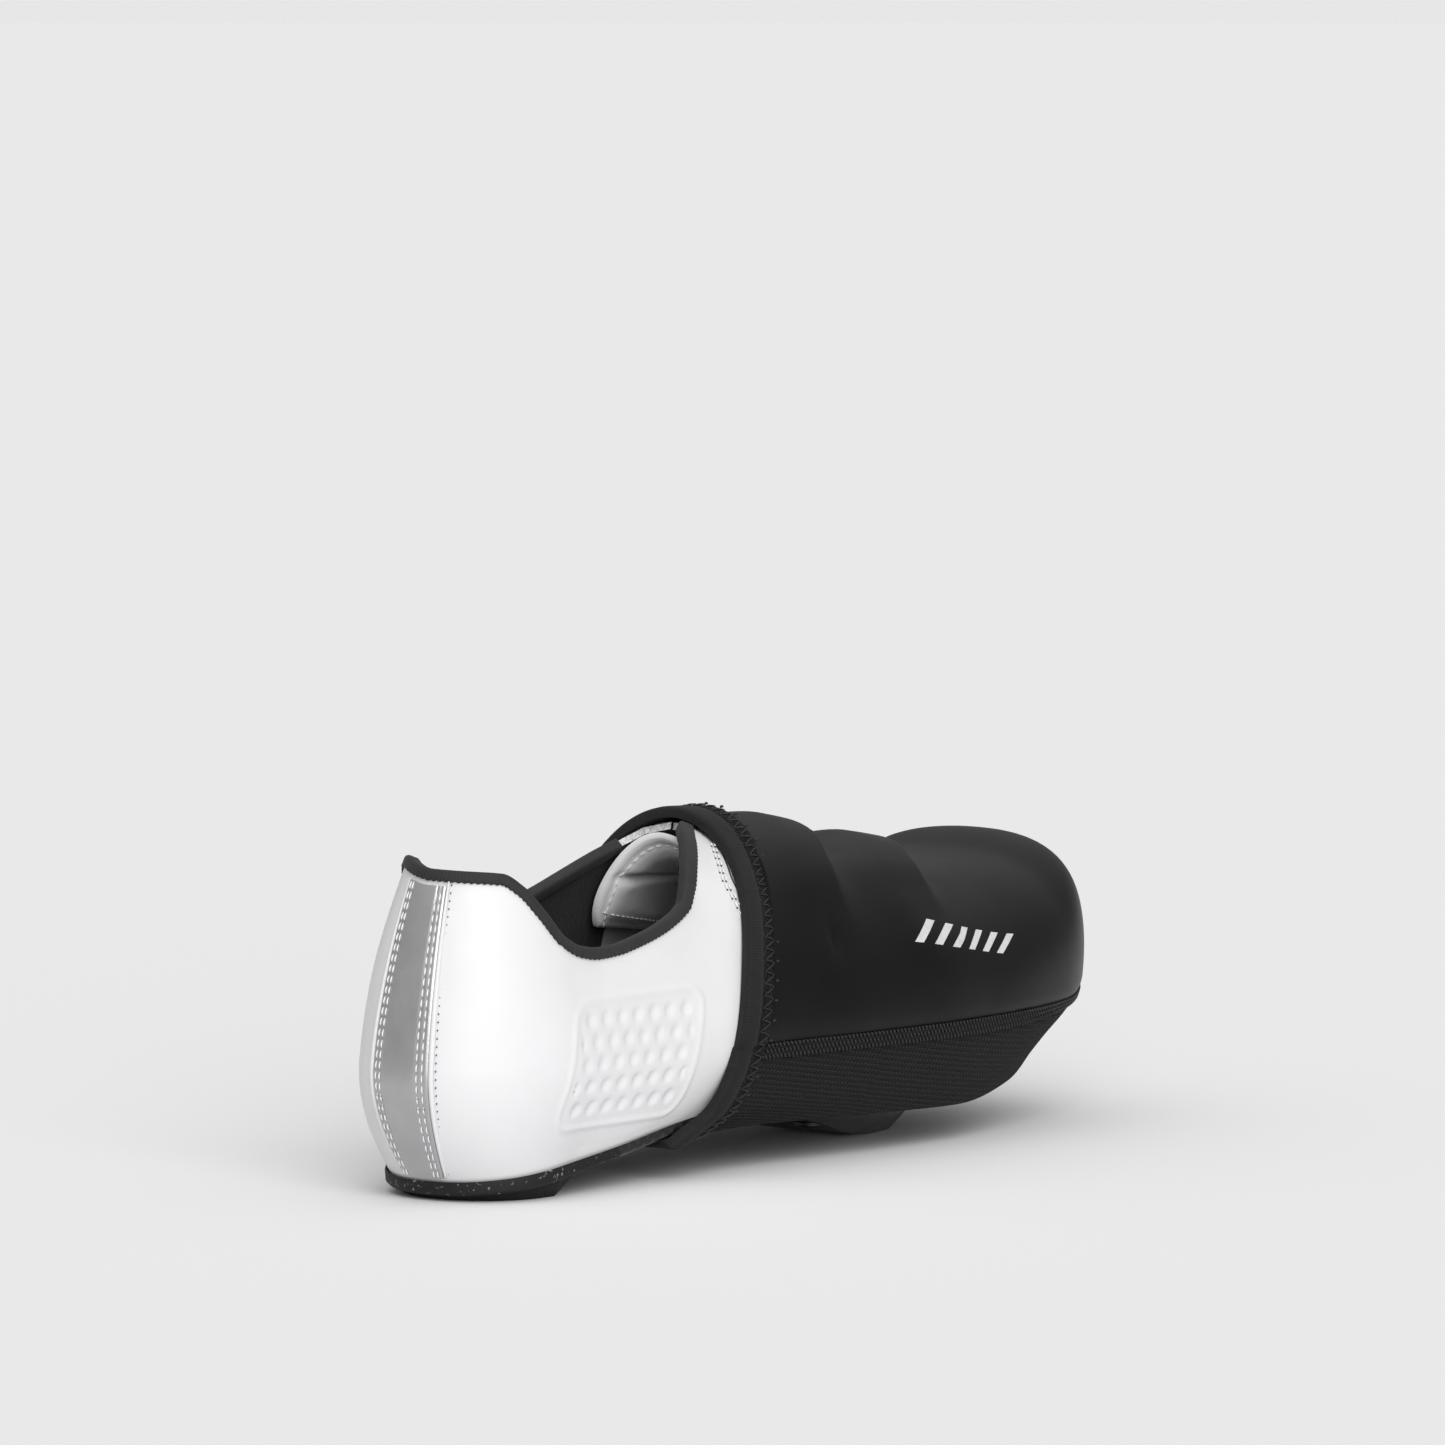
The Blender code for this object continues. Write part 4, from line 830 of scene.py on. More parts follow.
dial_white = Surface("dial_finish", grey(0.66), 0.34)
dial_white.bump(dial_white.noise(900.0), 0.00004, 0.4)
dial_white.tint(dial_white.noise(80.0), 0.5, 0.9, grey(0.58))

print_grey = Surface("pale_print_finish", grey(0.60), 0.50)
print_grey.bump(print_grey.noise(1500.0), 0.00004, 0.5)
print_grey.tint(print_grey.noise(500.0), 0.45, 0.8, grey(0.50))


# Upper: the quarter carries a panel of round dimples inside a raised outline

PANEL_CENTRE = (0.0610, 0.0360)
PANEL_HALF = (0.0270, 0.0170)
PANEL_LEAN = 0.30
PANEL_CORNER = 0.0060
DIMPLE_PITCH = 0.0068
DIMPLE_RADIUS = 0.0018
DIMPLE_DEPTH = 0.00070
DIMPLE_ROW = 0.866 * DIMPLE_PITCH
OUTLINE_HEIGHT = 0.00040
OUTLINE_WIDTH = 0.00085
PALE_LINING_START = 0.1360


def quarter_relief(point):
    """Height of the relief on the outer quarter: an outline and staggered dimples."""
    q = point[..., 2] - PANEL_CENTRE[1]
    p = point[..., 0] - PANEL_CENTRE[0] - PANEL_LEAN * q
    dx = np.abs(p) - (PANEL_HALF[0] - PANEL_CORNER)
    dy = np.abs(q) - (PANEL_HALF[1] - PANEL_CORNER)
    away = (np.hypot(np.maximum(dx, 0.0), np.maximum(dy, 0.0))
            + np.minimum(np.maximum(dx, dy), 0.0) - PANEL_CORNER)
    relief = OUTLINE_HEIGHT * np.exp(-(away / OUTLINE_WIDTH) ** 2)
    row = np.round(q / DIMPLE_ROW)
    shift = 0.5 * (row % 2)
    column = np.round(p / DIMPLE_PITCH - shift) + shift
    distance = np.hypot(p - column * DIMPLE_PITCH, q - row * DIMPLE_ROW)
    inside = away < -0.0032
    dimple = DIMPLE_DEPTH * np.exp(-(distance / DIMPLE_RADIUS) ** 4)
    relief = relief - np.where(inside, dimple, 0.0)
    soft = 0.00035 * np.sin(point[..., 0] * 95.0 + 1.0) * np.sin(point[..., 2] * 120.0)
    return np.where(point[..., 1] < 0.0, relief, 0.0) + soft


def upper_columns():
    lateral = [np.linspace(-1.0, -0.60, 26)[:-1], np.linspace(-0.60, -0.42, 18)[:-1],
               np.linspace(-0.42, -0.12, 150)[:-1], np.linspace(-0.12, 0.0, 26)[:-1]]
    medial = [np.linspace(0.0, 0.20, 40)[:-1], np.linspace(0.20, 0.44, 62)[:-1],
              np.linspace(0.44, 0.60, 16)[:-1], np.linspace(0.60, 1.0, 26)[:-1]]
    return np.concatenate(lateral + medial)


def make_upper():
    around = upper_columns()
    top = topline_up(around)
    rows = np.linspace(0.0, 1.0, 96)
    covered = np.abs(around) >= THROAT_FRONT - 1e-6
    up = np.where(covered[:, None], rows[None, :], top[:, None] * rows[None, :])
    places = np.repeat(around[:, None], len(rows), 1)
    base = last_point(places, up)
    near_edge = np.clip((top[:, None] - up) / 0.06, 0.0, 1.0) * np.clip(up / 0.05, 0.0, 1.0)
    hidden = np.clip((0.40 - np.abs(places)) / 0.02, 0.0, 1.0)
    outer = skin(places, up, quarter_relief(base) * near_edge * hidden)
    inner = skin(places, up, np.full_like(up, -UPPER_WALL))
    verts, faces, kinds, uv = shell_parts(outer, inner, covered, True)
    x = verts[faces].mean(1)
    kinds = np.where((kinds == 1) & (x[:, 0] > PALE_LINING_START), 3, kinds)
    piece("upper_shell", (verts, faces, kinds, uv),
          [white.material, dark_lining.material, raw_edge.material, pale_lining.material],
          ["upper"])


make_upper()


# Sole and insole: the speckled rand ends this far from the heel

RAND_END = 0.062


def around_all(count_side, count_toe):
    half = np.concatenate([np.linspace(0.0, HEEL_TURN, 40)[:-1],
                           np.linspace(HEEL_TURN, BALL_TURN, count_side)[:-1],
                           np.linspace(BALL_TURN, 1.0, count_toe)])
    return np.concatenate([-half[::-1], half[1:]])


def make_sole():
    around = around_all(90, 60)
    edge = last_point(around, 0.0 * around)
    out = outward(around)
    x = edge[:, 0]
    lip = read(SOLE_LIP, "height", "along", x / LENGTH) * ARCH_HEIGHT
    lip_up = WIDEST * lip / (widest_height(x) - feather_height(x))
    seat = edge + out * FIT_GAP
    seat[:, 2] = sole_top(x)
    side = edge + out * (FIT_GAP + SOLE_LIP_WIDTH)
    side[:, 2] = sole_bottom(x) + SOLE_EDGE_BEVEL
    under = edge + out * (FIT_GAP + SOLE_LIP_WIDTH - 1.2 * SOLE_EDGE_BEVEL)
    under[:, 2] = sole_bottom(under[:, 0])
    top_middle = middle_points(around, sole_top)
    bottom_middle = middle_points(around, sole_bottom)
    ring = [top_middle]
    ring += [toward_middle(edge, top_middle, share, sole_top) for share in (0.3, 0.6, 0.9)]
    ring += [seat, skin(around, lip_up, np.full_like(around, FIT_GAP)),
             skin(around, lip_up + 0.006, np.full_like(around, FIT_GAP + 0.35 * SOLE_LIP_WIDTH)),
             skin(around, lip_up, np.full_like(around, FIT_GAP + 0.75 * SOLE_LIP_WIDTH)), side]
    ring += [0.5 * (side + under), under]
    ring += [toward_middle(edge, bottom_middle, share, sole_bottom) for share in (0.94, 0.6, 0.3)]
    ring.append(bottom_middle)
    verts, faces, kinds, uv = lens_parts(np.stack(ring, 1))
    middle = verts[faces].mean(1)
    row = np.tile(np.arange(len(ring) - 1), len(around) - 1)
    kinds = np.where((row >= 4) & (row <= 9) & (middle[:, 0] < RAND_END), 1, 0)
    piece("sole_plate", (verts, faces, kinds, uv), [carbon.material, rand.material],
          ["sole"], 38)


def make_insole():
    around = around_all(60, 40)

    def top_height(x):
        return feather_height(x) + 0.0025

    inner_rim = skin(around, 0.0 * around, np.full_like(around, -UPPER_WALL))
    bottom_edge = inner_rim - outward(around) * 2.0 * FIT_GAP
    top_edge = bottom_edge.copy()
    bottom_edge[:, 2] = feather_height(bottom_edge[:, 0])
    top_edge[:, 2] = top_height(top_edge[:, 0])
    top_middle = middle_points(around, top_height)
    bottom_middle = middle_points(around, feather_height)
    ring = [top_middle]
    for share in (0.25, 0.5, 0.75, 0.9):
        row = toward_middle(top_edge, top_middle, share, top_height)
        row[:, 2] -= 0.0007 * (1.0 - share)
        ring.append(row)
    ring += [top_edge, bottom_edge,
             toward_middle(bottom_edge, bottom_middle, 0.5, feather_height), bottom_middle]
    piece("footbed", lens_parts(np.stack(ring, 1)), [footbed.material],
          ["insole"], 45)


make_sole()
make_insole()


# Heel strip: stitch rows as shares of its half width, piping and pinholes beside it

SEAM_ROWS = (0.66, 0.83)
PIPING_BESIDE = 0.0030
HOLES_BESIDE = 0.0074


def make_heel_strip():
    across = np.linspace(-1.0, 1.0, 41)
    around = across * STRIP_SIDE
    x = last_point(around, 0.0 * around)[:, 0]
    lip = read(SOLE_LIP, "height", "along", x / LENGTH) * ARCH_HEIGHT
    foot = WIDEST * (lip + STRIP_FOOT) / (widest_height(x) - feather_height(x))
    wall_height = last_point(around, topline_up(around))[:, 2]
    head = up_at_height(around, wall_height - BINDING_WIDTH - 2.0 * FIT_GAP)
    share = np.linspace(0.0, 1.0, 90)
    up = foot[:, None] + (head - foot)[:, None] * share[None, :]
    places = np.repeat(around[:, None], len(share), 1)
    edge = np.clip((1.0 - np.abs(across)) / 0.10, 0.0, 1.0)[:, None]
    channel = sum(np.exp(-((np.abs(across) - row) / 0.035) ** 2)[:, None] * 0.00022
                  for row in SEAM_ROWS[::-1])
    rise = STRIP_THICKNESS * (0.55 + 0.45 * np.sin(0.5 * math.pi * edge)) - channel
    outer = skin(places, up, FIT_GAP + rise)
    inner = skin(places, up, np.full_like(up, FIT_GAP))
    closed = np.zeros(len(around), bool)
    piece("heel_strip_band", shell_parts(outer, inner, closed, False), [strip.material],
          ["heel_strip"])

    def line_up(place, low, high, lift):
        """A line up the heel at one place around it, and its normals."""
        column = np.full(len(share), place)
        rows = low + (high - low) * share
        return skin(column, rows, np.full(len(share), lift)), last_normal(column, rows)

    paths = []
    for row in (-SEAM_ROWS[1], -SEAM_ROWS[0], SEAM_ROWS[0], SEAM_ROWS[1]):
        line = line_up(row * STRIP_SIDE, np.interp(row, across, foot), np.interp(row, across, head),
                       FIT_GAP + STRIP_THICKNESS - 0.00012)
        paths += stitch_paths(*line, *STRIP_STITCH)
    thread_piece("heel_strip_stitches", paths, 0.00024, white_thread.material)
    piping = []
    holes = []
    for side in (-1.0, 1.0):
        place = side * (STRIP_SIDE + PIPING_BESIDE)
        piping.append(line_up(place, foot[-1], head[-1], FIT_GAP + 0.0002)[0])
        line = line_up(side * (STRIP_SIDE + HOLES_BESIDE), foot[-1], head[-1], 0.00002)
        holes += stitch_paths(*line, *HEEL_HOLE)
    thread_piece("heel_strip_piping", piping, 0.00075, white.material, 10)
    thread_piece("heel_pinholes", holes, 0.00020, tape.material)


make_heel_strip()


# Collar binding: how far it stands out, its share of the CAD's width, and its ends around

TAPE_STAND = 0.00095
TAPE_SHARE = 0.80
TAPE_START = -0.4160
TAPE_END = 0.4120


def binding_ring(around, scallop):
    """Cross-sections of the folded tape over the topline."""
    up = topline_up(around)
    edge = last_point(around, up)
    along = unit(np.gradient(edge, axis=0))
    normal = last_normal(around, up)
    down = unit(np.cross(along, normal))
    down *= np.where(down[:, 2] > 0, -1.0, 1.0)[:, None]
    width = (TAPE_SHARE * binding_width(around) + scallop)[:, None]
    low_around, low_up = slide(around, up, down * width)
    mid_around, mid_up = slide(around, up, down * 0.5 * width)
    low = last_point(low_around, low_up)
    low_normal = last_normal(low_around, low_up)
    mid = last_point(mid_around, mid_up)
    mid_normal = last_normal(mid_around, mid_up)
    near = 0.00012
    far = TAPE_STAND
    inner_near = -(UPPER_WALL + near)
    inner_far = -(UPPER_WALL + far)
    roof = edge - down * TAPE_STAND
    return np.stack([
        low + low_normal * near,
        low + low_normal * 0.75 * far,
        0.8 * low + 0.2 * mid + low_normal * far,
        mid + mid_normal * far,
        edge + normal * far,
        0.35 * edge + 0.65 * roof + normal * (0.72 * far),
        roof + normal * 0.0001,
        roof - normal * (UPPER_WALL + 0.0001),
        0.35 * edge + 0.65 * roof + normal * (inner_far + 0.28 * far),
        edge + normal * inner_far,
        mid + mid_normal * inner_far,
        low + low_normal * (inner_far + 0.0003),
        low + low_normal * inner_near,
        edge + normal * inner_near,
        edge - down * 0.0001 - normal * 0.5 * UPPER_WALL,
        edge + normal * near,
    ], 1)


def make_collar_binding():
    around = np.concatenate([np.linspace(TAPE_START, -HEEL_TURN, 300)[:-1],
                             np.linspace(-HEEL_TURN, HEEL_TURN, 300)[:-1],
                             np.linspace(HEEL_TURN, TAPE_END, 300)])
    line = last_point(around, topline_up(around))
    length = np.concatenate([[0.0], np.cumsum(np.linalg.norm(np.diff(line, axis=0), axis=-1))])
    scallop = 0.00016 * np.sin(length * 2.0 * math.pi / 0.0017)
    grid = binding_ring(around, scallop)
    columns, rows = grid.shape[:2]
    place = np.arange(columns * rows).reshape(columns, rows)
    turn = np.roll(place, -1, 1)
    faces = quads(place[:-1], turn[:-1], turn[1:], place[1:]).tolist()
    caps = [place[0].tolist(), place[-1][::-1].tolist()]
    uv = np.stack(np.broadcast_arrays(length[:, None], np.linspace(0.0, 0.012, rows)[None, :]), -1)
    mesh = bpy.data.meshes.new("collar_tape")
    mesh.from_pydata((grid.reshape(-1, 3) + OFFSET).tolist(), [], faces + caps)
    mesh.materials.append(tape.material)
    set_lengths(mesh, uv.reshape(-1, 2))
    built = bmesh.new()
    built.from_mesh(mesh)
    bmesh.ops.recalc_face_normals(built, faces=built.faces)
    built.to_mesh(mesh)
    built.free()
    shade(mesh, 60)
    thing = put("collar_tape", mesh)
    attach(thing, "root")
    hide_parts("collar_binding")


make_collar_binding()


# Tongue: an arched pad with a crease and a stitched border


def make_tongue():
    rows = np.linspace(-1.0, 1.0, 121)
    steps = np.linspace(0.0, 1.0, 56) ** 1.25
    row, step = np.meshgrid(rows, steps, indexing="ij")
    up = 1.0 - np.abs(row) * (1.0 - TONGUE_SIDE_UP)
    rear = TONGUE_START + TONGUE_REAR_SWEEP * (1.0 - np.abs(row) ** TONGUE_REAR_CURVE)
    rear = rear + 0.0075 * np.abs(row) ** 9
    x = rear + (TONGUE_START + TONGUE_LENGTH - rear) * step
    around = station(x) * np.where(row > 0, 1.0, -1.0)
    from_rear = x - rear + 1e-6
    from_side = (1.0 - np.abs(row)) * 0.046 + 1e-6
    rim = (from_rear ** -3.0 + from_side ** -3.0) ** (-1.0 / 3.0)
    puff = np.clip(rim / 0.0080, 0.0, 1.0)
    puff = np.sin(0.5 * math.pi * puff) ** 0.8
    border = 1.0 - np.exp(-((rim - 0.0022) / 0.0008) ** 2)
    top = -(UPPER_WALL + BINDING_THICKNESS + 3.0 * FIT_GAP)
    thick = 0.0014 + (TONGUE_THICKNESS - 0.0014) * puff
    crease_at = 0.66 - 0.42 * step
    crease = np.exp(-((row - crease_at) / 0.050) ** 2) * np.clip(from_rear / 0.008, 0.0, 1.0)
    soft = np.sin(row * 4.0 + step * 5.0) * 0.0004
    thick = thick - 0.0024 * crease + soft * puff
    thick = thick - 0.0005 * (1.0 - border)
    thick = np.clip(thick, 0.0009, None)
    sag = 0.0010 * puff * np.sin(math.pi * np.clip(step * 1.2, 0.0, 1.0))
    outer = skin(around, up, np.full_like(x, top) - sag)
    inner = skin(around, up, top - sag - thick)
    closed = np.zeros(len(rows), bool)
    pad = piece("tongue_pad", shell_parts(outer, inner, closed, False), [tongue_skin.material],
                ["tongue"], 60)
    paths = []
    rim_place = np.clip(np.searchsorted(from_rear[60], 0.0024), 1, 50)
    seams = ((slice(0, 61), rim_place), (slice(60, 121), rim_place),
             (6, slice(3, 46)), (114, slice(3, 46)))
    for seam in seams:
        paths += stitch_paths(inner[seam], unit((inner - outer)[seam]), *TONGUE_STITCH)
    thread_piece("tongue_stitches", paths, 0.00022, white_thread.material)


make_tongue()


# Lace dial's base beside the flap, and the flap's seam


def make_flap():
    def rail(places, ups, lift):
        t = np.linspace(0.0, 1.0, 60)
        at = fair(np.linspace(0.0, 1.0, len(places)), np.array(places), t)
        rise = fair(np.linspace(0.0, 1.0, len(ups)), np.array(ups), t)
        return skin(at, rise, np.full(60, lift)), last_normal(at, rise)

    paths = []
    holes = []
    for shift in (0.0, 0.0034):
        places = [-0.4190 + shift, -0.4060 + shift, -0.3975 + shift, -0.3990 + shift]
        points, normals = rail(places, [0.815, 0.735, 0.655, 0.560], 0.00015)
        paths += stitch_paths(points, normals, *FLAP_STITCH)
        # Dark dots in the gaps between the stitches: painted shade in the needle holes
        holes += stitch_paths(points[::-1], normals[::-1], *FLAP_HOLE_SHADE)
    thread_piece("flap_stitches", paths, 0.00025, white_thread.material)
    thread_piece("flap_hole_painted_shade", holes, 0.00028, tape.material)
    places = [-0.4240, -0.4125, -0.4050, -0.4050]
    points = rail(places, [0.815, 0.735, 0.655, 0.570], 0.0001)[0]
    thread_piece("dial_base_edge", [points], 0.00024, tape.material)


make_flap()


# Toe cover: neoprene shell drawn over the dials

COVER_START = BAND_LENGTH - 0.0006
LEAST_WALL = 0.0008
CREASE_DEPTH = 0.0011
FOLD_RUN = 0.0080
DENT = (0.1451, 0.0604)
FOLD_LINE = (
    ("across", "ahead", "height"),
    (-0.0420, 0.0030, 0.00), (-0.0330, 0.0055, 0.02), (-0.0275, 0.0070, 0.22),
    (-0.0185, 0.0095, 0.78), (-0.0080, 0.0170, 1.00), (0.0035, 0.0215, 1.00),
    (0.0150, 0.0190, 0.62), (0.0300, 0.0100, 0.00),
)


def cover_lift(point):
    """How far the cover stands out: domes over the dials, each ending in a fold towards the toe."""
    x = point[..., 0]
    y = point[..., 1]
    z = point[..., 2]
    lift = np.zeros_like(x)
    trough = np.zeros_like(x)
    for centre in (UPPER_DIAL_CENTRE, LOWER_DIAL_CENTRE):
        across = y - centre[1]
        past = x - centre[0] - read(FOLD_LINE, "ahead", "across", across)
        height = read(FOLD_LINE, "height", "across", across)
        step = np.clip(0.5 - past / FOLD_RUN, 0.0, 1.0)
        dome = step * step * (3.0 - 2.0 * step)
        dome = dome * np.exp(-(np.clip(-past - 0.014, 0.0, None) / 0.016) ** 2)
        lift = np.maximum(lift, LUMP_HEIGHT * height * dome)
        trough += CREASE_DEPTH * height * np.exp(-((past - 0.0065) / 0.0050) ** 2)
    side = np.clip((-y - 0.018) / 0.010, 0.0, 1.0)
    ridge = 0.0010 * side * np.exp(-((x - 0.176 + 0.35 * (z - 0.070)) / 0.0095) ** 2)
    ridge = ridge * np.exp(-((z - 0.064) / 0.013) ** 2)
    dent = 0.0008 * side * np.exp(-((x - DENT[0]) / 0.0020) ** 2 - ((z - DENT[1]) / 0.0045) ** 2)
    soft = 0.00020 * np.sin(x * 140.0 + z * 60.0) * np.sin(z * 110.0 - x * 40.0)
    return lift - trough + ridge - dent + soft


def cover_grid_fine(offset, rows, outside):
    """Grid of the cover's outside, or of its inside, which keeps a least wall behind the folds."""
    halves = []
    for side in (-1.0, 1.0):
        around = fan(side, cover_rear_station(side, rows, COVER_START), 60, 84)
        ups = np.repeat(rows[None, :], len(around), 0)
        point = last_point(around, ups)
        lift = cover_lift(point)
        if not outside:
            lift = np.minimum(lump(point[..., 0], point[..., 1]), lift + COVER_WALL - LEAST_WALL)
        halves.append(skin(around, ups, offset + lift))
    return both_sides(*halves)


def make_cover_shell():
    rows = WIDEST + (1.0 - WIDEST) * np.linspace(0.0, 1.0, 66)
    outer = cover_grid_fine(COVER_GAP + COVER_WALL, rows, True)
    seam = np.clip((rows - WIDEST) / 0.03, 0.0, 1.0)
    inner = cover_grid_fine(COVER_GAP, rows, False)
    roll = (1.0 - np.sqrt(seam))[None, :, None] * 0.35
    outer = outer * (1.0 - roll) + inner * roll
    joined = np.ones(len(outer), bool)
    piece("cover_neoprene", shell_parts(outer, inner, joined, False),
          [neoprene.material, dark_lining.material, rough_tape.material],
          ["cover_shell"], 60)


make_cover_shell()


# Toe cover: knit side and underside, with an overlocked band of threads below the seam

OVERLOCK_END = 0.125
OVERLOCK_ROWS = 3
OVERLOCK_PITCH = 0.0015
OVERLOCK_STAND = 0.00055


def knit_fine(inset, ts):
    halves = []
    for side in (-1.0, 1.0):
        around = fan(side, knit_rear_station(side, ts, COVER_START), 50, 76)
        halves.append(knit_surface(around, np.repeat(ts[None, :], len(around), 0), inset))
    return both_sides(*halves)


def make_knit():
    ts = np.concatenate([np.linspace(0.0, OVERLOCK_END, 15)[:-1],
                         np.linspace(OVERLOCK_END, 0.70, 46)[:-1], np.linspace(0.70, 1.0, 14)])
    outer = knit_fine(0.0, ts)
    inner = knit_fine(KNIT_WALL, ts)
    rolls = 0.00045 + 0.00030 * np.cos(ts / OVERLOCK_END * 6.0 * math.pi)
    thread_rows = np.where(ts < OVERLOCK_END, rolls, 0.0)
    out = outer - inner
    out /= np.linalg.norm(out, axis=-1, keepdims=True) + 1e-9
    outer = outer + out * thread_rows[None, :, None]
    outer[:, 0, 2] -= FIT_GAP
    inner[:, 0, 2] -= FIT_GAP
    joined = np.abs(outer[:, -1, 1]) < 1e-5
    verts, faces, kinds, uv = shell_parts(outer, inner, joined, False)
    row = np.tile(np.arange(len(ts) - 1), (len(outer) - 1))
    band = np.zeros(len(faces), int)
    band[:len(row)] = np.where(row < 14, 1, 0)
    piece("cover_knit", (verts, faces, band, uv), [knit.material, overlock.material],
          ["cover_underside"], 60)


make_knit()


def make_overlock():
    """Rows of slanted threads that sew the knit to the neoprene."""
    paths = []
    t = np.linspace(0.0, 1.0, 4)[:, None]
    arch = np.sin(math.pi * t)
    for side in (-1.0, 1.0):
        for row in range(OVERLOCK_ROWS):
            ends = []
            for share in (row + 0.08, row + 0.94):
                level = np.array([OVERLOCK_END * share / OVERLOCK_ROWS])
                start = knit_rear_station(side, level, BAND_LENGTH + 0.0008)[0]
                around = side * np.linspace(start, 1.0, 300)
                line = knit_surface(around, np.full(300, level[0]), 0.0)
                out = line - knit_surface(around, np.full(300, level[0]), 0.001)
                ends.append((line, unit(out)))
            (low, out), (high, _) = ends
            count = int((line_length(low) - 0.002) / OVERLOCK_PITCH)
            at = np.arange(count) * OVERLOCK_PITCH
            first = resample(low + out * OVERLOCK_STAND, at)
            second = resample(high + out * OVERLOCK_STAND, at + 0.55 * OVERLOCK_PITCH)
            away = resample(low + out, at) - resample(low, at)
            for n in range(count):
                paths.append(first[n] * (1 - t) + second[n] * t + away[n] * 0.00035 * arch)
    thread_piece("cover_overlock", paths, 0.00042, black_thread.material, 5)


make_overlock()


# Toe cover: folded band round the foot, with a rough strip and zigzag thread in front of it


def band_line(offset, inset, shift, count=60):
    """Points round the foot at one distance from the cover's rear edge."""
    ring = []
    for side in (-1.0, 1.0):
        ts = np.linspace(1.0, 0.0, count)[:-1]
        low = knit_surface(side * knit_rear_station(side, ts, shift), ts, inset)
        ups = WIDEST + (1.0 - WIDEST) * np.linspace(0.0, 1.0, count)
        rear = cover_rear_station(side, ups, shift)
        point = last_point(side * rear, ups)
        high = skin(side * rear, ups, offset + lump(point[..., 0], point[..., 1]))
        ring.append(np.concatenate([low, high]))
    return np.concatenate([ring[0], ring[1][::-1][1:-1]])


# Cross-section of the band: share of its length, and share of its rise over the knit
BAND_SECTION = (
    (0.00, 0.35), (0.02, 0.75), (0.06, 0.98), (0.15, 1.12), (0.28, 1.16), (0.42, 1.12), (0.52, 0.98),
    (0.57, 0.78), (0.60, 0.66), (0.68, 0.70), (0.80, 0.72), (0.92, 0.66), (1.04, 0.45),
)
ZIGZAG_EDGES = (0.64, 0.98)
ZIGZAG_PITCH = 0.0017
TUFT_PITCH = 0.0056
FOOT_MIDDLE_HEIGHT = 0.045


def band_outside(share, rise, count=60):
    """Line round the foot on the band's outside."""
    thick = KNIT_WALL + (BAND_WALL - KNIT_WALL) * rise
    return band_line(BAND_STAND_OFF + thick, KNIT_WALL + BAND_STAND_OFF - thick,
                     share * BAND_LENGTH, count)


def bowed(start, end, top):
    """A short path that bows outward, as seen from the foot's middle below its top."""
    away = unit(top - np.array([top[0], 0.0, FOOT_MIDDLE_HEIGHT]))
    t = np.linspace(0.0, 1.0, 5)[:, None]
    return start * (1 - t) + end * t + away * 0.00030 * np.sin(math.pi * t)


def make_band():
    outer = []
    inner = []
    for share, rise in BAND_SECTION:
        outer.append(band_outside(share, rise))
        inner.append(band_line(BAND_STAND_OFF, KNIT_WALL, share * BAND_LENGTH))
    outer = np.array(outer).transpose(1, 0, 2)
    inner = np.array(inner).transpose(1, 0, 2)
    closed = np.zeros(len(outer), bool)
    verts, faces, kinds, uv = shell_parts(outer, inner, closed, True)
    row = np.tile(np.arange(len(BAND_SECTION) - 1), len(outer))
    use = np.zeros(len(faces), int)
    use[:len(row)] = np.where(row >= 7, 1, 0)
    piece("cover_band", (verts, faces, use, uv), [elastic.material, rough_tape.material],
          ["cover_edge_band"], 60)
    lines = [band_outside(share, 0.74, 90) for share in ZIGZAG_EDGES]
    zigs = int(line_length(lines[0]) / ZIGZAG_PITCH)
    zigzag = []
    for n in range(zigs):
        start = at_share(lines[n % 2], n / zigs)
        end = at_share(lines[(n + 1) % 2], (n + 1) / zigs)
        zigzag.append(bowed(start, end, 0.5 * (start + end)))
    thread_piece("band_zigzag", zigzag, 0.00026, black_thread.material, 5)
    front = band_line(COVER_GAP + COVER_WALL, 0.0, BAND_LENGTH + 0.0004, 90)
    ahead = band_line(COVER_GAP + COVER_WALL, 0.0, BAND_LENGTH + 0.0017, 90)
    steps = int(line_length(front) / TUFT_PITCH)
    tufts = []
    for n in range(steps):
        end = at_share(ahead, n / steps)
        tufts.append(bowed(at_share(front, n / steps), end, end))
    thread_piece("band_stitch_ends", tufts, 0.00042, black_thread.material, 6)


make_band()


# Cleat opening's rim, cleat and bolts. The rim's section is in shares across and down it.

OPENING_REAR = 0.4825
RIM_SECTION = (
    (0.06, 0.10), (0.50, 0.00), (0.94, 0.10), (1.00, 0.45),
    (0.92, 0.88), (0.50, 1.00), (0.08, 0.88), (0.00, 0.45),
)
# Radius and height of the bolt head's round rings, then of its six-sided socket's rings
BOLT_ROUND = ((0.0048, 0.0006), (0.0048, -0.0003), (0.0044, -0.0007), (0.0028, -0.0007))
BOLT_SOCKET = ((0.0021, -0.0007), (0.0021, 0.0004))
BOLT_SIDES = 24
BOLTS = ((0.1790, -0.0085), (0.1790, 0.0085), (0.2215, 0.0))
BOLT_RECESS = 0.0004


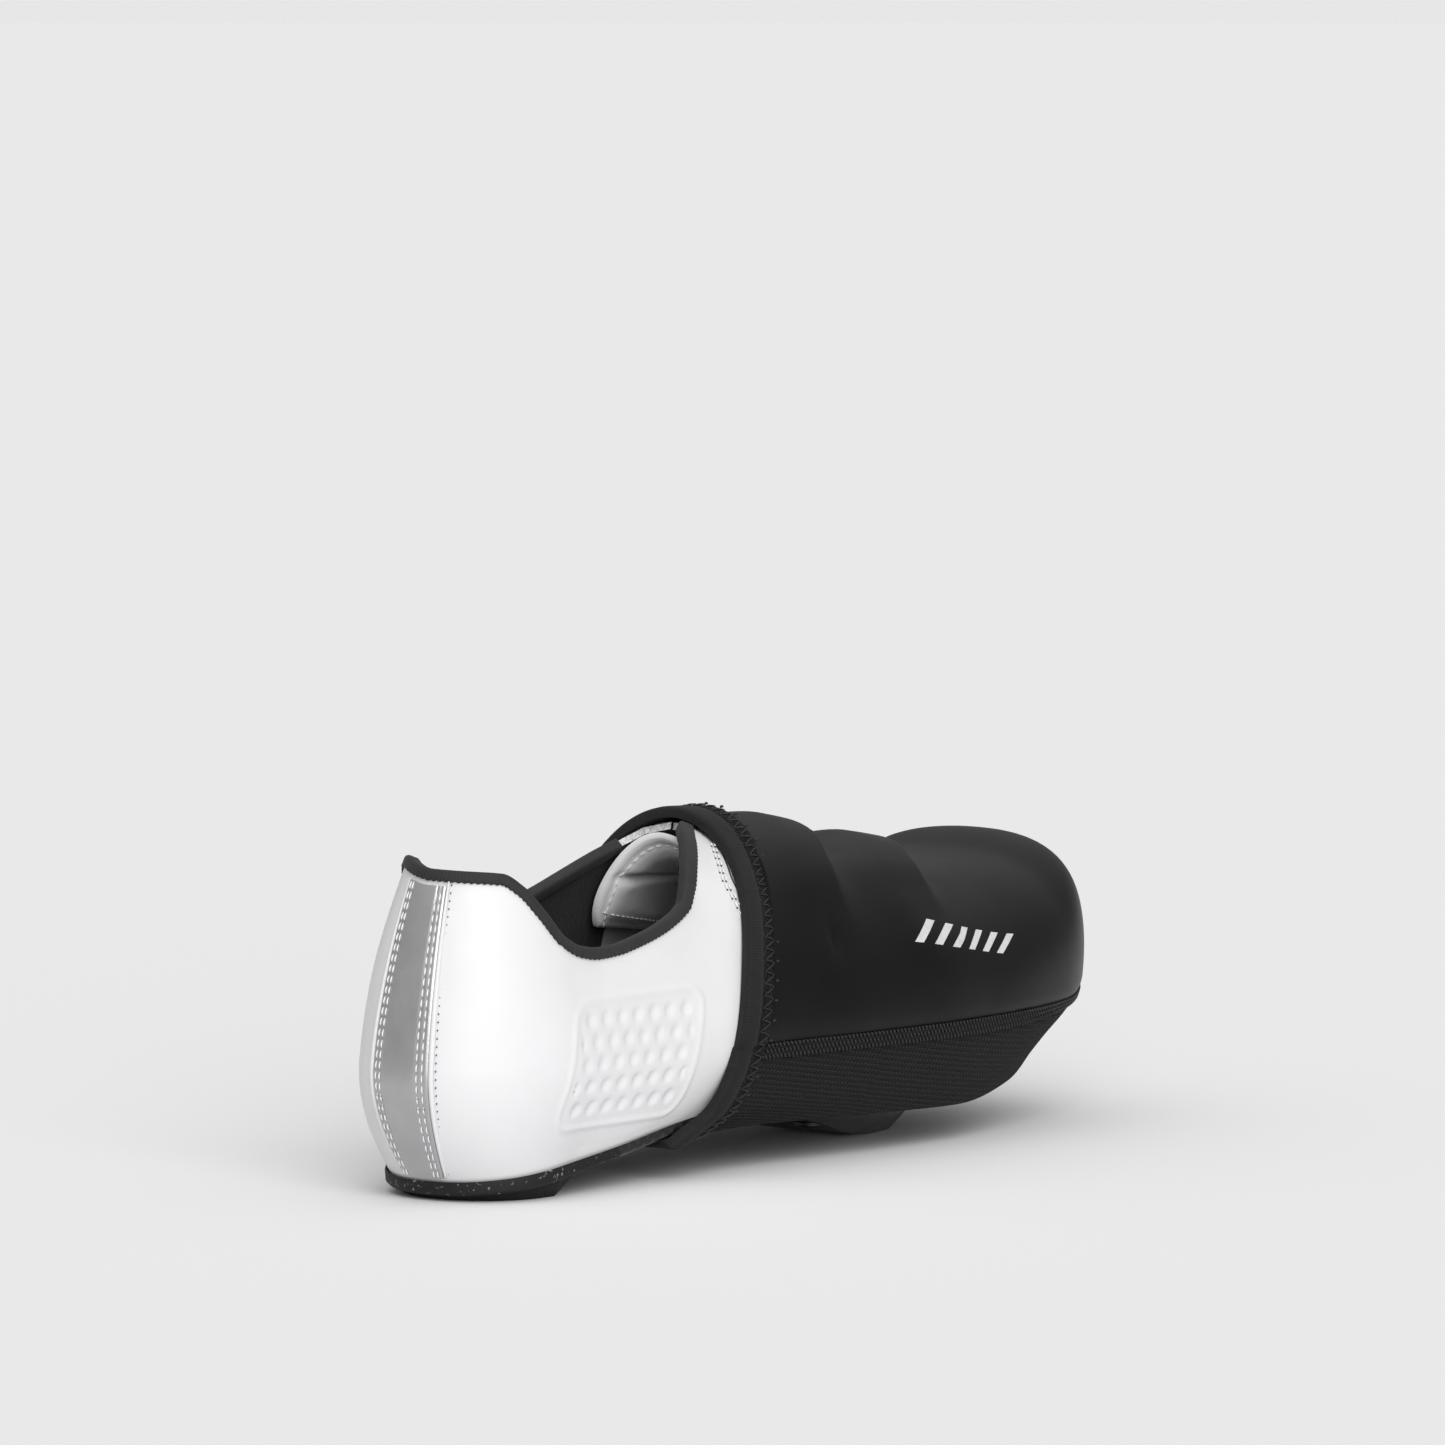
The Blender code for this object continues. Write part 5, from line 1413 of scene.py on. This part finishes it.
def make_opening_rim():
    places = np.concatenate([np.linspace(OPENING_REAR, BALL_TURN, 40)[:-1],
                             np.linspace(BALL_TURN, 1.0, 60)])
    around = np.concatenate([-places[::-1], places])[:-1]
    rim = knit_surface(around, np.ones_like(around), 0.0)
    inward = middle_points(around, sole_bottom) - rim
    inward[:, 2] = 0.0
    inward = unit(inward)
    ring = []
    for across, down in RIM_SECTION:
        point = rim + inward * (FIT_GAP + across * OPENING_BINDING_WIDTH)
        point[:, 2] = sole_bottom(point[:, 0]) - FIT_GAP - down * OPENING_BINDING_WALL
        ring.append(point)
    grid = np.stack(ring, 1)
    place = np.arange(grid.shape[0] * grid.shape[1]).reshape(grid.shape[:2])
    turn = np.roll(place, -1, 1)
    after = np.roll(place, -1, 0)
    after_turn = np.roll(turn, -1, 0)
    faces = quads(place, turn, after_turn, after)
    kinds = np.zeros(len(faces), int)
    piece("cleat_opening_rim", (grid.reshape(-1, 3), faces, kinds, arc_uv(grid).reshape(-1, 2)),
          [elastic.material], ["cleat_opening_binding"], 60)


make_opening_rim()


def bolt(name, x, y, z):
    """A round bolt head with a hexagonal socket, facing down."""
    built = bmesh.new()
    made = []
    for radius, height in BOLT_ROUND + BOLT_SOCKET:
        ring = []
        for a in np.arange(BOLT_SIDES) * 2.0 * math.pi / BOLT_SIDES:
            reach = radius
            if (radius, height) in BOLT_SOCKET:
                reach = radius / math.cos((a % (math.pi / 3.0)) - math.pi / 6.0) * 0.90
            place = (x + reach * math.cos(a), y + reach * math.sin(a), z + height)
            ring.append(built.verts.new(place))
        made.append(ring)
    for first, second in zip(made[:-1], made[1:]):
        for i in range(BOLT_SIDES):
            k = (i + 1) % BOLT_SIDES
            built.faces.new((first[i], first[k], second[k], second[i]))
    built.faces.new(made[0])
    built.faces.new(made[-1][::-1])
    bmesh.ops.recalc_face_normals(built, faces=built.faces)
    mesh = bpy.data.meshes.new(name)
    built.to_mesh(mesh)
    built.free()
    mesh.transform(Matrix.Translation(OFFSET.tolist()))
    mesh.materials.append(steel.material)
    shade(mesh, 35)
    thing = put(name, mesh)
    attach(thing, "root")


def cleat_floor(x):
    rows = np.asarray(CLEAT_SECTIONS[1:], float)
    return float(np.interp((x - CLEAT_START) / CLEAT_LENGTH, rows[:, 0], rows[:, 2])) * ARCH_HEIGHT


for number, (bolt_x, bolt_y) in enumerate(BOLTS):
    bolt("cleat_bolt_%d" % (number + 1), bolt_x, bolt_y, cleat_floor(bolt_x) + BOLT_RECESS)


def dress(node, material, bevel):
    """Give a CAD node a finish, and soften its edges."""
    thing = frame["nodes"][node]
    thing.data.materials.clear()
    thing.data.materials.append(material)
    if bevel:
        soften = thing.modifiers.new("soft_edges", "BEVEL")
        soften.width = bevel
        soften.segments = 2
        soften.angle_limit = math.radians(25)


dress("heel_pad", rubber.material, 0.0006)
dress("cleat", cleat_plastic.material, 0.0008)
dress("dial_upper", dial_white.material, 0.0)
dress("dial_lower", dial_white.material, 0.0)


# Pale slanted marks on the cover's side, in place of any lettering

MARK_COUNT = 6
MARK_WIDTH = 0.42
MARK_SLANT = 0.55
MARK_REAR = ((-0.5480, 0.508), (-0.5600, 0.574))
MARK_FRONT = ((-0.6640, 0.474), (-0.6820, 0.532))


def make_marks():
    verts = []
    faces = []
    rear = np.array(MARK_REAR)
    front = np.array(MARK_FRONT)
    t = np.linspace(0.0, 1.0, 9)[None, :, None]
    wide = MARK_WIDTH * np.linspace(0.0, 1.0, 5)[:, None, None]
    for number in range(MARK_COUNT):
        s = (number + 0.1 + wide + MARK_SLANT * (t - 0.5)) / MARK_COUNT
        place = (rear[0] * (1 - t) + rear[1] * t) * (1 - s)
        place = place + (front[0] * (1 - t) + front[1] * t) * s
        around = place[..., 0]
        up = place[..., 1]
        surface = COVER_GAP + COVER_WALL + cover_lift(last_point(around, up))
        top = skin(around, up, surface + 0.00016)
        low = skin(around, up, surface - 0.00010)
        mark_verts, mark_faces = shell_parts(top, low, np.zeros(5, bool), False)[:2]
        faces.append(mark_faces + len(mark_verts) * number)
        verts.append(mark_verts)
    faces = np.concatenate(faces)
    piece("side_marks", (np.concatenate(verts), faces, np.zeros(len(faces), int), None),
          [print_grey.material], (), 40)


make_marks()


# Floor, light and camera

FLOOR_HALF = 900.0
# Brightness of the sky by the sine of its height; at the horizon it is the floor's own tone.
SKY = ((0.0, 0.713), (0.010, 0.713), (0.020, 0.24), (0.3, 0.22), (0.7, 0.64), (1.0, 1.0))
SKY_STRENGTH = 1.12
CAMERA_AZIMUTH = 54.121
CAMERA_PITCH = 4.499
CAMERA_PLACE = (-1.8713, -1.46072, 0.31643)
CAMERA_LENS = 222.25


def make_stage():
    mesh = bpy.data.meshes.new("studio_floor")
    half = FLOOR_HALF
    mesh.from_pydata([(-half, -half, 0), (half, -half, 0), (half, half, 0), (-half, half, 0)], [],
                     [(0, 1, 2, 3)])
    floor = Surface("studio_floor_finish", grey(0.79), 1.0, Specular_IOR_Level=0.0)
    mesh.materials.append(floor.material)
    thing = put("studio_floor", mesh)
    scene = bpy.context.scene
    scene.view_settings.view_transform = "Standard"
    scene.view_settings.look = "None"
    world = bpy.data.worlds.new("studio")
    scene.world = world
    world.use_nodes = True
    tree = world.node_tree
    back = tree.nodes["Background"]
    coordinate = tree.nodes.new("ShaderNodeTexCoord")
    split = tree.nodes.new("ShaderNodeSeparateXYZ")
    ramp = tree.nodes.new("ShaderNodeValToRGB")
    tree.links.new(coordinate.outputs["Generated"], split.inputs[0])
    tree.links.new(split.outputs["Z"], ramp.inputs["Fac"])
    tree.links.new(ramp.outputs["Color"], back.inputs["Color"])
    steps = ramp.color_ramp.elements
    for position, value in SKY[1:-1]:
        steps.new(position)
    for step, (position, value) in zip(steps, SKY):
        step.position = position
        step.color = (value, value, value, 1.0)
    back.inputs["Strength"].default_value = SKY_STRENGTH
    light = bpy.data.lights.new("key_light", "SUN")
    light.energy = 2.2
    light.angle = math.radians(50.0)
    lamp = put("key_light", light)
    lamp.rotation_euler = (math.radians(62.0), 0.0, math.radians(-40.0))


def make_camera():
    data = bpy.data.cameras.new("photo_camera")
    data.lens = CAMERA_LENS
    data.sensor_width = 36.0
    data.sensor_fit = "HORIZONTAL"
    data.clip_end = 3000.0
    camera = put("photo_camera", data)
    camera.location = (np.array(CAMERA_PLACE) + OFFSET).tolist()
    camera.rotation_euler = (0.5 * math.pi - math.radians(CAMERA_PITCH), 0.0,
                             -math.radians(CAMERA_AZIMUTH))
    bpy.context.scene.camera = camera


make_stage()
make_camera()
